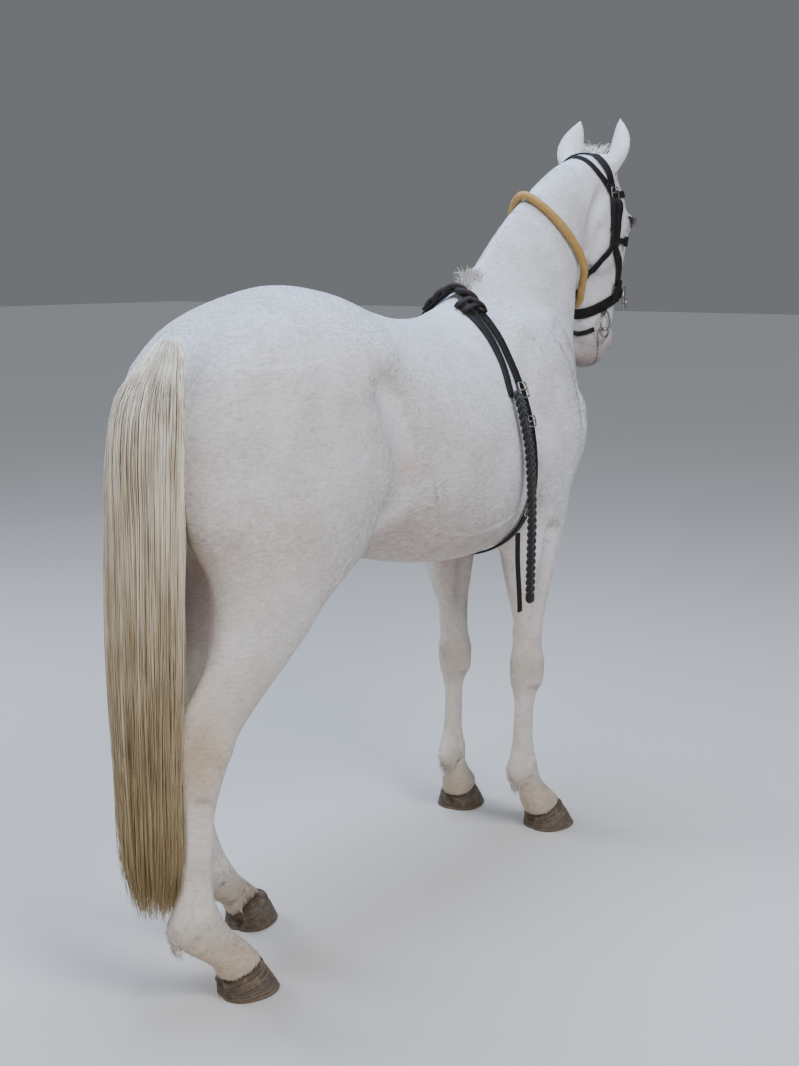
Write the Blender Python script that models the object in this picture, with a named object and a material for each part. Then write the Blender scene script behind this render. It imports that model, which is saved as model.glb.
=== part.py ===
"""A light horse that stands at rest in its bridle, neck collar and surcingle, life size.

Metres: +X towards the head, +Y to the horse's left, +Z up, with the soles at z = 0.
The flesh is one smooth solid. Rings of measures run along the trunk, neck, head and legs, and eggs and
rods of muscle and bone melt into them. It is meshed once and then parted with thin cuts.
"""

import math

import bmesh
import bpy
import numpy as np
from mathutils import Matrix, Vector
from mathutils.bvhtree import BVHTree

# ---- driving sizes
GAP = 0.0003  # between pieces that touch
FLESH_GRID = 0.013  # cell of the net that meshes the flesh
FLESH_TRIANGLES = 3400
SHORTEST_EDGE = 0.001  # what thinning out leaves shorter is closed up
SLIVER = 0.0001  # points a cut leaves this close are one
HAIR_GRID = 0.012
HAIR_EDGE = 0.02  # how softly a lock of hair ends where it comes off the flesh
BOX_CENTRE = (0.1495, -0.0003)  # middle of the horse's box on the floor, moved to the origin at the end
NECK_ROOT = (0.42, 0.0, 1.20)
POLL = (1.03, 0.0, 1.85)  # the head hangs straight down from here
CORONET_HEIGHT = 0.058  # of the coronet over the ground, at the hoof's middle
CORONET_SLOPE = 0.40  # its rise from heel to toe
HOOF_WALL = 0.003  # the wall's edge is rounded off by this much at the ground
EYE_RADIUS = 0.021
STRAP_CLEARANCE = 0.002  # between a strap and the flesh under it

# ---- where each leg stands: height, x and y of its plumb line, and its turn outwards in degrees
STANCE = {
    "fore_right": [(0.0, 0.572, -0.150, 14), (0.20, 0.562, -0.136, 10), (0.47, 0.560, -0.130, 5),
                   (0.85, 0.553, -0.135, 0), (1.25, 0.553, -0.135, 0)],
    "fore_left": [(0.0, 0.566, 0.138, 8), (0.20, 0.570, 0.126, 6), (0.47, 0.570, 0.124, 3),
                  (0.85, 0.555, 0.135, 0), (1.25, 0.553, 0.135, 0)],
    "hind_right": [(0.0, -0.678, -0.120, 20), (0.20, -0.662, -0.118, 18), (0.60, -0.640, -0.112, 14),
                   (0.90, -0.625, -0.130, 4), (1.35, -0.625, -0.130, 0)],
    "hind_left": [(0.0, -0.408, 0.100, 12), (0.20, -0.440, 0.102, 12), (0.60, -0.560, 0.112, 10),
                  (0.90, -0.610, 0.130, 4), (1.35, -0.625, 0.130, 0)],
}


# ---- the measures of the body
def ring(at, low, high, half, widest=0.5, above=2.0, below=2.0):
    """One girth: its place along the part, lowest and highest point, half width, the share of its height
    where it is widest, and how square it is above and below that (2 is an ellipse, 1.5 is peaked)."""
    return (at, low, high, widest, half, above, below)


TRUNK = [  # at x, z up
    ring(-0.775, 1.10, 1.30, 0.040),
    ring(-0.70, 1.00, 1.390, 0.118),
    ring(-0.58, 0.94, 1.468, 0.185, 0.52),
    ring(-0.42, 0.93, 1.525, 0.226, 0.54, 2.1),  # croup
    ring(-0.28, 0.905, 1.515, 0.240, 0.52, 2.2),
    ring(-0.12, 0.868, 1.470, 0.262, 0.46, 2.1, 2.1),  # loin and flank
    ring(0.06, 0.828, 1.440, 0.278, 0.43, 2.0, 2.2),  # belly
    ring(0.22, 0.812, 1.448, 0.268, 0.40, 1.8, 2.2),
    ring(0.34, 0.820, 1.492, 0.240, 0.37, 1.6, 2.2),  # girth
    ring(0.43, 0.845, 1.522, 0.210, 0.36, 1.5, 2.1),  # withers
    ring(0.54, 0.890, 1.480, 0.185, 0.38, 1.6),
    ring(0.66, 0.980, 1.375, 0.160, 0.42, 1.9),
    ring(0.75, 1.040, 1.270, 0.100, 0.45),  # breast
]
NECK = [  # along the neck from its root, at 45 degrees
    ring(0.06, -0.340, 0.222, 0.180, 0.42, 1.5),
    ring(0.20, -0.310, 0.248, 0.162, 0.42, 1.45),
    ring(0.33, -0.245, 0.251, 0.132, 0.42, 1.45),
    ring(0.46, -0.170, 0.236, 0.106, 0.42, 1.5),
    ring(0.58, -0.112, 0.208, 0.088, 0.44, 1.6),
    ring(0.70, -0.085, 0.172, 0.080, 0.48, 1.8),
    ring(0.80, -0.075, 0.132, 0.072, 0.50, 1.9),
    ring(0.88, -0.070, 0.085, 0.055),
]
HEAD = [  # down from the poll, from the jaw's side to the face's
    ring(-0.02, -0.060, 0.045, 0.055),
    ring(0.05, -0.085, 0.090, 0.080, 0.50, 2.2),
    ring(0.11, -0.115, 0.122, 0.090, 0.58, 2.4),
    ring(0.17, -0.135, 0.140, 0.092, 0.64, 2.4, 1.9),  # eyes
    ring(0.24, -0.140, 0.141, 0.082, 0.64, 2.3, 1.8),
    ring(0.31, -0.115, 0.136, 0.070, 0.62, 2.2, 1.8),
    ring(0.38, -0.078, 0.122, 0.058, 0.58, 2.2, 1.9),
    ring(0.45, -0.057, 0.106, 0.052, 0.52, 2.2),
    ring(0.51, -0.058, 0.074, 0.050, 0.50, 2.2, 2.1),
    ring(0.555, -0.060, 0.038, 0.042, 0.50, 2.1, 2.1),
    ring(0.585, -0.050, 0.010, 0.028),
]
FORELEG = [  # up from the ground, from the leg's back to its front
    ring(0.040, -0.058, 0.052, 0.046, 0.5, 2.2, 2.2),
    ring(0.085, -0.074, 0.044, 0.044, 0.5, 2.2, 2.2),
    ring(0.120, -0.088, 0.012, 0.034, 0.5, 2.1, 2.1),
    ring(0.155, -0.112, -0.014, 0.034, 0.55),  # pastern
    ring(0.195, -0.120, -0.022, 0.036, 0.55),  # fetlock
    ring(0.240, -0.108, -0.034, 0.030, 0.55),
    ring(0.320, -0.100, -0.036, 0.0245, 0.60, 2.1, 2.1),  # cannon
    ring(0.390, -0.101, -0.029, 0.028, 0.60, 2.1, 2.1),
    ring(0.440, -0.112, -0.010, 0.040, 0.60, 2.4, 2.1),
    ring(0.490, -0.112, -0.006, 0.044, 0.58, 2.4, 2.1),  # knee
    ring(0.540, -0.102, -0.014, 0.040, 0.55, 2.1),
    ring(0.620, -0.112, -0.006, 0.046, 0.50, 2.0, 2.0),
    ring(0.720, -0.140, 0.020, 0.058, 0.50, 2.0, 2.0),  # forearm
    ring(0.820, -0.170, 0.052, 0.070),
    ring(0.920, -0.190, 0.095, 0.074),  # elbow
    ring(1.040, -0.170, 0.120, 0.070),
    ring(1.130, -0.120, 0.100, 0.050),
    ring(1.200, -0.060, 0.060, 0.020),
]
HIND_LEG = [
    ring(0.040, -0.058, 0.050, 0.044, 0.5, 2.2, 2.2),
    ring(0.080, -0.078, 0.040, 0.042, 0.5, 2.2, 2.2),
    ring(0.110, -0.118, 0.012, 0.034, 0.5, 2.1, 2.1),
    ring(0.145, -0.162, -0.024, 0.035, 0.55),  # pastern
    ring(0.190, -0.182, -0.056, 0.038, 0.55),  # fetlock
    ring(0.240, -0.170, -0.076, 0.032, 0.55),
    ring(0.330, -0.158, -0.080, 0.027, 0.60, 2.1, 2.1),  # cannon
    ring(0.420, -0.160, -0.076, 0.030, 0.60, 2.1, 2.1),
    ring(0.490, -0.172, -0.060, 0.040, 0.60, 2.2, 1.9),
    ring(0.545, -0.190, -0.040, 0.046, 0.62, 2.2, 1.8),  # hock
    ring(0.600, -0.198, -0.014, 0.045, 0.62, 2.2, 1.7),
    ring(0.650, -0.170, 0.028, 0.046, 0.58, 2.1, 1.7),
    ring(0.710, -0.132, 0.084, 0.054, 0.55, 2.0, 1.8),
    ring(0.790, -0.106, 0.156, 0.072, 0.52),  # gaskin
    ring(0.870, -0.104, 0.212, 0.090, 0.52),
    ring(0.960, -0.120, 0.254, 0.104, 0.52),  # stifle
    ring(1.060, -0.140, 0.282, 0.108),
    ring(1.150, -0.120, 0.270, 0.090),
    ring(1.230, -0.060, 0.200, 0.055),
    ring(1.290, 0.020, 0.120, 0.020),
]
TAIL = [  # up from the hair's end, from back to front
    ring(0.185, -0.855, -0.800, 0.030),
    ring(0.26, -0.872, -0.790, 0.060),
    ring(0.50, -0.880, -0.778, 0.080),
    ring(0.80, -0.882, -0.765, 0.092),
    ring(1.05, -0.875, -0.740, 0.094),
    ring(1.22, -0.872, -0.690, 0.088),
    ring(1.33, -0.843, -0.660, 0.072),
    ring(1.40, -0.775, -0.660, 0.040),
    ring(1.425, -0.740, -0.680, 0.020),
]
TAIL_FOOT = (0, -0.020, 0)  # where the tail's line meets the ground
TAIL_LINE = (0, 0.020, 1)


# ---- smooth solids as signed distances: negative inside
def along(rings, at):
    """The measures of the rings at each place, on a smooth curve through them."""
    rings = np.array(rings, float)
    knots, values = rings[:, 0], rings[:, 1:]
    slopes = np.gradient(values, knots, axis=0)
    at = np.clip(at, knots[0], knots[-1])
    i = np.clip(np.searchsorted(knots, at) - 1, 0, len(knots) - 2)
    span = knots[i + 1] - knots[i]
    t = ((at - knots[i]) / span)[:, None]
    span = span[:, None]
    return ((2 * t**3 - 3 * t**2 + 1) * values[i] + (t**3 - 2 * t**2 + t) * span * slopes[i]
            + (3 * t**2 - 2 * t**3) * values[i + 1] + (t**3 - t**2) * span * slopes[i + 1])


def melt_min(a, b, melt):
    step = np.maximum(melt - np.abs(a - b), 0) / melt
    return np.minimum(a, b) - step * step * melt / 4


def melt_max(a, b, melt):
    return -melt_min(-a, -b, melt)


def turned(degrees, axis):
    return np.array(Matrix.Rotation(math.radians(degrees), 3, axis))


class Limb:
    """A solid through rings of measures, along an axis from an origin; up is where a ring is highest."""

    def __init__(self, origin, axis, up, rings, melt, box, bend=None):
        self.origin = np.array(origin, float)
        self.axis = np.array(axis, float) / np.linalg.norm(axis)
        up = np.array(up, float) - self.axis * np.dot(up, self.axis)
        self.up = up / np.linalg.norm(up)
        self.side = np.cross(self.up, self.axis)
        self.rings, self.melt, self.box, self.bend, self.adds = rings, melt, box, bend, True

    def distance(self, points):
        local = points - self.origin
        if self.bend:
            local = self.bend(local)
        at, across, high = local @ self.axis, local @ self.side, local @ self.up
        low, top, widest, half, above, below = along(self.rings, at).T
        middle = low + (top - low) * widest
        high = high - middle
        reach = np.where(high > 0, top - middle, middle - low)
        power = np.where(high > 0, above, below)
        share = ((np.abs(across) / half) ** power + (np.abs(high) / reach) ** power) ** (1 / power)
        radial = np.hypot(across, high) * (1 - 1 / np.maximum(share, 1e-3))
        radial = np.maximum(radial, -np.minimum(half, reach))
        ends = np.maximum(at - self.rings[-1][0], self.rings[0][0] - at)
        return melt_max(radial, ends, 0.02)


class Egg:
    """An ellipsoid, on both sides of the horse where its centre is off the middle."""

    def __init__(self, centre, radii, melt, tilt=0, yaw=0, adds=True):
        self.centre, self.radii, self.melt, self.adds = np.array(centre), np.array(radii), melt, adds
        self.turn = turned(yaw, "Z") @ turned(tilt, "Y")
        reach = np.abs(self.turn) @ self.radii + melt + 0.01
        low, high = self.centre - reach, self.centre + reach
        far = max(abs(low[1]), abs(high[1]))
        self.box = ((low[0], -far, low[2]), (high[0], far, high[2]))

    def distance(self, points):
        mirrored = np.stack([points[:, 0], np.abs(points[:, 1]), points[:, 2]], 1)
        local = (mirrored - self.centre) @ self.turn
        one = np.linalg.norm(local / self.radii, axis=1)
        two = np.maximum(np.linalg.norm(local / self.radii**2, axis=1), 1e-9)
        return one * (one - 1) / two


class Rod:
    """A rod with round ends, on both sides of the horse."""

    def __init__(self, start, end, radius, melt, adds=True):
        self.start, self.end, self.radius = np.array(start), np.array(end), radius
        self.melt, self.adds = melt, adds
        reach = radius + melt + 0.01
        low, high = np.minimum(start, end) - reach, np.maximum(start, end) + reach
        far = max(abs(low[1]), abs(high[1]))
        self.box = ((low[0], -far, low[2]), (high[0], far, high[2]))

    def distance(self, points):
        mirrored = np.stack([points[:, 0], np.abs(points[:, 1]), points[:, 2]], 1)
        run = self.end - self.start
        t = np.clip((mirrored - self.start) @ run / (run @ run), 0, 1)
        return np.linalg.norm(mirrored - self.start - t[:, None] * run, axis=1) - self.radius


def leg(rings, stance, side, melt):
    def to_plumb(points):
        """Straightens the leg: each point as it would lie round a plumb line with the toe to the front."""
        x, y, angle = along(stance, points[:, 2]).T
        angle = np.radians(angle) * side
        x, y = points[:, 0] - x, points[:, 1] - y
        return np.stack([x * np.cos(angle) + y * np.sin(angle),
                         (y * np.cos(angle) - x * np.sin(angle)) * side, points[:, 2]], 1)

    xs, ys = [row[1] for row in stance], [row[2] for row in stance]
    box = ((min(xs) - 0.34, min(ys) - 0.20, rings[0][0] - 0.03),
           (max(xs) + 0.42, max(ys) + 0.20, rings[-1][0] + 0.08))
    return Limb((0, 0, 0), (0, 0, 1), (1, 0, 0), rings, melt, box, to_plumb)


def on_head(down, forward, side=0.0):
    """A place on the head: down from the poll, forward of it, and out to the right side."""
    return (POLL[0] + forward, side, POLL[2] - down)


def flesh_masses():
    masses = [
        Limb((0, 0, 0), (1, 0, 0), (0, 0, 1), TRUNK, 0.02, ((-0.86, -0.34, 0.74), (0.84, 0.34, 1.62))),
        Limb(NECK_ROOT, (1, 0, 1), (-1, 0, 1), NECK, 0.075, ((0.30, -0.25, 0.95), (1.14, 0.25, 1.95))),
    ]
    for name, stance in STANCE.items():
        side = 1 if "left" in name else -1
        masses.append(leg(FORELEG, stance, side, 0.07) if "fore" in name else leg(HIND_LEG, stance, side, 0.08))
    masses += [
        Egg((-0.31, 0.185, 1.360), (0.07, 0.040, 0.045), 0.09),  # point of the hip
        Egg((-0.50, 0.095, 1.30), (0.22, 0.112, 0.165), 0.08),  # rump
        Egg((-0.685, 0.095, 1.16), (0.095, 0.075, 0.19), 0.07, tilt=6),  # point of the buttock
        Egg((-0.41, 0.150, 1.06), (0.17, 0.088, 0.19), 0.07, tilt=25),  # thigh
        Egg((0.51, 0.120, 1.24), (0.085, 0.062, 0.20), 0.10, tilt=-28),  # shoulder blade
        Egg((0.60, 0.095, 1.28), (0.085, 0.060, 0.13), 0.09, tilt=-28),  # neck's root over the shoulder
        Egg((0.45, 0.135, 1.04), (0.13, 0.070, 0.12), 0.07, tilt=20),  # upper arm
        Egg((0.662, 0.105, 1.125), (0.085, 0.074, 0.105), 0.09),  # point of the shoulder
        Egg((0.672, 0.055, 1.08), (0.084, 0.062, 0.100), 0.07),  # breast muscle
        Limb(POLL, (0, 0, -1), (1, 0, 0), HEAD, 0.035, ((0.80, -0.16, 1.20), (1.24, 0.16, 1.92))),
        Egg(on_head(0.20, -0.045, 0.060), (0.085, 0.034, 0.105), 0.03),  # cheek
        Egg(on_head(0.156, 0.083, 0.070), (0.036, 0.022, 0.032), 0.02),  # brow over the eye
        Rod(on_head(0.205, 0.035, 0.080), on_head(0.33, 0.045, 0.060), 0.008, 0.02),  # facial crest
        Egg(on_head(0.505, 0.046, 0.036), (0.027, 0.020, 0.036), 0.02, tilt=12),  # nostril
        Egg(on_head(0.550, 0.012, 0.0), (0.036, 0.038, 0.026), 0.02, tilt=25),  # upper lip
        Egg(on_head(0.548, -0.042, 0.0), (0.032, 0.030, 0.030), 0.015),  # chin
        Egg(on_head(0.005, -0.005, 0.055), (0.032, 0.030, 0.040), 0.03),  # root of the ear
    ]
    return masses


def field(masses, axes):
    """The melted distance of all the masses at the corners of a grid."""
    total = np.ones([len(axis) for axis in axes])
    for mass in masses:
        spans = [slice(*np.searchsorted(axis, ends)) for axis, ends in zip(axes, zip(*mass.box))]
        block = [axis[span] for axis, span in zip(axes, spans)]
        if min(len(axis) for axis in block) == 0:
            continue
        corners = np.stack(np.meshgrid(*block, indexing="ij"), -1).reshape(-1, 3)
        near = mass.distance(corners).reshape([len(axis) for axis in block])
        here = total[tuple(spans)]
        if mass.adds:
            total[tuple(spans)] = melt_min(here, near, mass.melt)
        else:
            total[tuple(spans)] = melt_max(here, -near, mass.melt)
    return total


def net(axes, values):
    """Points and four-sided faces of the surface where the values turn negative: one point in each cell
    that the surface crosses, at the mean of its crossings, joined across every crossed edge."""
    inside = values < 0
    sizes = [len(axis) - 1 for axis in axes]
    corners = [(i, j, k) for i in (0, 1) for j in (0, 1) for k in (0, 1)]
    filled = sum(inside[i:sizes[0] + i, j:sizes[1] + j, k:sizes[2] + k].astype(int) for i, j, k in corners)
    crossed = (filled > 0) & (filled < 8)
    cells = np.argwhere(crossed)
    number = np.full(crossed.shape, -1)
    number[crossed] = np.arange(len(cells))
    total, count = np.zeros((len(cells), 3)), np.zeros(len(cells))
    for corner in corners:
        for direction in range(3):
            if corner[direction]:
                continue
            other = np.array(corner)
            other[direction] = 1
            first, second = cells + corner, cells + other
            a, b = values[tuple(first.T)], values[tuple(second.T)]
            cut = (a < 0) != (b < 0)
            t = np.where(cut, a / np.where(a == b, 1, a - b), 0)[:, None]
            start = np.stack([axes[n][first[:, n]] for n in range(3)], 1)
            end = np.stack([axes[n][second[:, n]] for n in range(3)], 1)
            total += np.where(cut[:, None], start + t * (end - start), 0)
            count += cut
    faces = []
    for direction in range(3):
        others = np.roll(np.arange(3), -direction)[1:]
        low, high = [slice(1, -1)] * 3, [slice(1, -1)] * 3
        low[direction], high[direction] = slice(0, -1), slice(1, None)
        shift = np.ones(3, int)
        shift[direction] = 0
        edges = np.argwhere(inside[tuple(low)] != inside[tuple(high)]) + shift
        step = np.eye(3, dtype=int)[others]
        round_edge = [edges - step[0] - step[1], edges - step[1], edges, edges - step[0]]
        quads = np.stack([number[tuple(cell.T)] for cell in round_edge], 1)
        inward = inside[tuple(edges.T)]
        quads[~inward] = quads[~inward][:, ::-1]
        faces.append(quads)
    return total / count[:, None], np.concatenate(faces)


# ---- making objects
def material(name, colour, roughness, metallic=0.0):
    made = bpy.data.materials.new(name)
    made.use_nodes = True
    shader = made.node_tree.nodes["Principled BSDF"]
    shader.inputs["Base Color"].default_value = (*colour, 1)
    shader.inputs["Roughness"].default_value = roughness
    shader.inputs["Metallic"].default_value = metallic
    return made


def put(name, points, faces, finish=None):
    mesh = bpy.data.meshes.new(name)
    mesh.from_pydata([tuple(point) for point in points], [], [tuple(map(int, face)) for face in faces])
    mesh.shade_smooth()
    thing = bpy.data.objects.new(name, mesh)
    bpy.context.scene.collection.objects.link(thing)
    if finish:
        mesh.materials.append(finish)
    return thing


def modify(thing, kind, **settings):
    modifier = thing.modifiers.new(kind.title(), kind)
    for key, value in settings.items():
        setattr(modifier, key, value)
    return modifier


def apply_modifiers(thing):
    graph = bpy.context.evaluated_depsgraph_get()
    made = bpy.data.meshes.new_from_object(thing.evaluated_get(graph))
    thing.modifiers.clear()
    thing.data = made
    return thing


def grid_axes(low, high, step):
    return [np.arange(a, b + step, step) for a, b in zip(low, high)]


def thin_out(thing, triangles):
    apply_modifiers(thing)
    thing.data.calc_loop_triangles()
    modify(thing, "DECIMATE", ratio=triangles / len(thing.data.loop_triangles), use_collapse_triangulate=True)
    apply_modifiers(thing)
    mesh = bmesh.new()
    mesh.from_mesh(thing.data)
    bmesh.ops.remove_doubles(mesh, verts=mesh.verts, dist=SHORTEST_EDGE)
    mesh.to_mesh(thing.data)
    mesh.free()
    return thing


def slab(point, normal, size, along_x=(1, 0, 0)):
    """A plate GAP thick that parts what it crosses: its middle, its normal and its two sizes."""
    normal = Vector(normal).normalized()
    first = (Vector(along_x) - normal * normal.dot(Vector(along_x))).normalized()
    second = normal.cross(first)
    frame = Matrix((first, second, normal)).transposed().to_4x4()
    box = bmesh.new()
    bmesh.ops.create_cube(box, size=1)
    bmesh.ops.scale(box, vec=(size[0], size[1], GAP), verts=box.verts)
    bmesh.ops.transform(box, matrix=Matrix.Translation(point) @ frame, verts=box.verts)
    return box


def cut_away(thing, cutter_mesh):
    """Cuts a bmesh away from the thing with an exact Boolean."""
    mesh = bpy.data.meshes.new("cutter")
    cutter_mesh.to_mesh(mesh)
    cutter_mesh.free()
    cutter = bpy.data.objects.new("cutter", mesh)
    bpy.context.scene.collection.objects.link(cutter)
    cutter.hide_render = True
    cutter.display_type = "WIRE"
    modify(thing, "BOOLEAN", operation="DIFFERENCE", object=cutter)
    apply_modifiers(thing)
    bpy.data.objects.remove(cutter)


def loose_parts(thing):
    """The separate lumps of a mesh, each as points and faces."""
    source = bmesh.new()
    source.from_mesh(thing.data)
    left, parts = set(source.verts), []
    while left:
        grown, edge = set(), [left.pop()]
        while edge:
            vert = edge.pop()
            grown.add(vert)
            near = {link.other_vert(vert) for link in vert.link_edges} & left
            left -= near
            edge += near
        order = {vert: n for n, vert in enumerate(sorted(grown, key=lambda v: v.index))}
        faces = [[order[vert] for vert in face.verts] for face in source.faces if face.verts[0] in grown]
        parts.append(([vert.co.copy() for vert in order], faces))
    source.free()
    return parts


def thing_tree(thing):
    """The surface of a mesh, ready for finding its nearest place."""
    return BVHTree.FromPolygons([vert.co for vert in thing.data.vertices],
                                [face.vertices[:] for face in thing.data.polygons])


def skinned(rings, tip=False):
    """Points and faces of rings of equal count joined in a row, with both ends closed."""
    count = len(rings[0])
    points = [point for loop in rings for point in loop]
    faces = [tuple(range(count))[::-1]]
    for n in range(len(rings) - 1):
        for k in range(count):
            a, b = n * count + k, n * count + (k + 1) % count
            faces.append((a, b, b + count, a + count))
    last = (len(rings) - 1) * count
    if tip:
        points = points[:last + 1]
        faces = [face for face in faces if max(face) < last]
        faces += [(last - count + k, last - count + (k + 1) % count, last) for k in range(count)]
    else:
        faces.append(tuple(range(last, last + count)))
    return points, faces


def outwards(thing):
    mesh = bmesh.new()
    mesh.from_mesh(thing.data)
    bmesh.ops.recalc_face_normals(mesh, faces=mesh.faces)
    if mesh.calc_volume(signed=True) < 0:
        bmesh.ops.reverse_faces(mesh, faces=mesh.faces)
    mesh.to_mesh(thing.data)
    mesh.free()
    return thing


# ---- ears, eyes and hooves
EAR_LEVELS = [  # share of the height, half width, depth of the cup
    (0.00, 0.026, 0.028), (0.15, 0.033, 0.030), (0.35, 0.039, 0.028), (0.55, 0.038, 0.023),
    (0.75, 0.029, 0.017), (0.90, 0.015, 0.010), (1.00, 0.0, 0.0),
]
EAR_ROOT = (1.032, 0.060, 1.825)
EAR_TIP = (1.082, 0.066, 1.988)
EAR_BOW = 0.020  # the ear bows out, so that its tip leans in
EAR_WALL = 0.006
EAR_OPENING = 25  # degrees that the cup faces out from the front


def ear(side):
    """A leaf rolled into a cup that is open to the front, closed at its root."""
    rings = []
    root, rise = Vector(EAR_ROOT), Vector(EAR_TIP) - Vector(EAR_ROOT)
    face = Matrix.Rotation(math.radians(EAR_OPENING), 3, "Z")
    for level, half, depth in EAR_LEVELS:
        middle = root + rise * level + Vector((0, EAR_BOW * math.sin(math.pi * level), 0))
        hollow = max(0.0, min(1.0, (level - 0.12) / 0.2)) * (1 - level)
        loop = [(-depth * math.cos(a), half * math.sin(a)) for a in np.linspace(-1.8, 1.8, 7)]
        wall = min(EAR_WALL, half / 3)
        inner = [(-(depth - wall) * hollow * math.cos(a), (half - wall) * math.sin(a))
                 for a in np.linspace(1.75, -1.75, 5)]
        ring_points = [middle + face @ Vector((x, y, 0)) for x, y in loop + inner]
        rings.append([Vector((p.x, p.y * side, p.z)) for p in ring_points])
    return skinned(rings, tip=True)


def ball(name, centre, radius, finish=None):
    mesh = bmesh.new()
    bmesh.ops.create_icosphere(mesh, subdivisions=2, radius=radius, matrix=Matrix.Translation(centre))
    made = bpy.data.meshes.new(name)
    mesh.to_mesh(made)
    if finish is None:
        return mesh
    mesh.free()
    made.shade_smooth()
    made.materials.append(finish)
    thing = bpy.data.objects.new(name, made)
    bpy.context.scene.collection.objects.link(thing)
    return thing


HOOVES = {  # length and width on the ground
    "fore": (0.142, 0.128),
    "hind": (0.136, 0.116),
}
CORONET = (0.096, 0.088)  # length and width of the hoof's top
CORONET_MIDDLE = -0.006  # forward of the plumb line
SOLE_MIDDLE = 0.020
HOOF_SIDES = 16


def hoof_loop(middle, length, width, height, slope=0.0):
    """A hoof's outline: round at the toe, squarer at the heel."""
    loop = []
    for n in range(HOOF_SIDES):
        angle = 2 * math.pi * n / HOOF_SIDES
        square = 1.0 if math.cos(angle) > 0 else 0.75
        x = math.copysign(abs(math.cos(angle)) ** square, math.cos(angle)) * length / 2
        y = math.copysign(abs(math.sin(angle)) ** 0.9, math.sin(angle)) * width / 2
        loop.append(Vector((middle + x, y, height + slope * (middle + x))))
    return loop


def leg_frame(name):
    _, x, y, twist = STANCE[name][0]
    side = 1 if "left" in name else -1
    return Matrix.Translation((x, y, 0)) @ Matrix.Rotation(math.radians(twist) * side, 4, "Z")


def hoof(name, finish):
    length, width = HOOVES[name[:4]]
    top = CORONET_HEIGHT - GAP
    loops = [
        hoof_loop(SOLE_MIDDLE, length - 2 * HOOF_WALL, width - 2 * HOOF_WALL, 0),
        hoof_loop(SOLE_MIDDLE, length, width, HOOF_WALL),
        hoof_loop((SOLE_MIDDLE + CORONET_MIDDLE) / 2, (length + CORONET[0]) / 2, (width + CORONET[1]) / 2 + 0.003,
                  top / 2, CORONET_SLOPE / 2),
        hoof_loop(CORONET_MIDDLE, *CORONET, top, CORONET_SLOPE),
    ]
    frame = leg_frame(name)
    thing = put("hoof_" + name, *skinned([[frame @ point for point in loop] for loop in loops]), finish)
    thing.data.set_sharp_from_angle(angle=math.radians(40))
    return outwards(thing)


# ---- hair
def hair(name, masses, flesh, low, high, triangles, gap, finish):
    """A lock of hair as one solid, the largest lump of it that clears the flesh."""
    axes = grid_axes(low, high, HAIR_GRID if triangles > 200 else HAIR_GRID / 2)
    values = melt_max(field(masses, axes), gap - field(flesh, axes), HAIR_EDGE)
    lock = put(name, *net(axes, values))
    biggest = max(loose_parts(lock), key=lambda part: len(part[0]))
    bpy.data.objects.remove(lock)
    return outwards(thin_out(put(name, *biggest, finish), triangles))


# ---- straps
def sweep(name, middles, normals, width, thickness, closed, finish):
    """A flat strap along the middles, lying across the normals."""
    loops, count = [], len(middles)
    for n, (middle, normal) in enumerate(zip(middles, normals)):
        before = middles[(n - 1) % count] if closed else middles[max(n - 1, 0)]
        after = middles[(n + 1) % count] if closed else middles[min(n + 1, count - 1)]
        run = (after - before).normalized()
        across = normal.cross(run).normalized() * width / 2
        up = run.cross(across).normalized() * thickness / 2
        loops.append([middle - across - up, middle + across - up, middle + across + up, middle - across + up])
    if not closed:
        return outwards(put(name, *skinned(loops), finish))
    points = [point for loop in loops for point in loop]
    faces = []
    for n in range(count):
        for k in range(4):
            a, b = n * 4 + k, n * 4 + (k + 1) % 4
            c, d = (n + 1) % count * 4 + (k + 1) % 4, (n + 1) % count * 4 + k
            faces.append((a, b, c, d))
    return outwards(put(name, points, faces, finish))


def hull(points):
    """The convex outline of flat points, counter-clockwise."""
    points = sorted(points)
    outline = []
    for run in (points, points[::-1]):
        half = []
        for x, y in run:
            while len(half) > 1 and ((half[-1][0] - half[-2][0]) * (y - half[-2][1])
                                     <= (half[-1][1] - half[-2][1]) * (x - half[-2][0])):
                half.pop()
            half.append((x, y))
        outline += half[:-1]
    return outline


def evenly(points, count, closed):
    """The same line through count points that lie evenly along it."""
    points = [Vector(point) for point in points]
    if closed:
        points.append(points[0])
    lengths = np.cumsum([0.0] + [(b - a).length for a, b in zip(points, points[1:])])
    places = np.linspace(0, lengths[-1], count + 1)[:-1] if closed else np.linspace(0, lengths[-1], count)
    table = np.array(points)
    return [Vector([np.interp(place, lengths, table[:, n]) for n in range(table.shape[1])]) for place in places]


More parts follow.
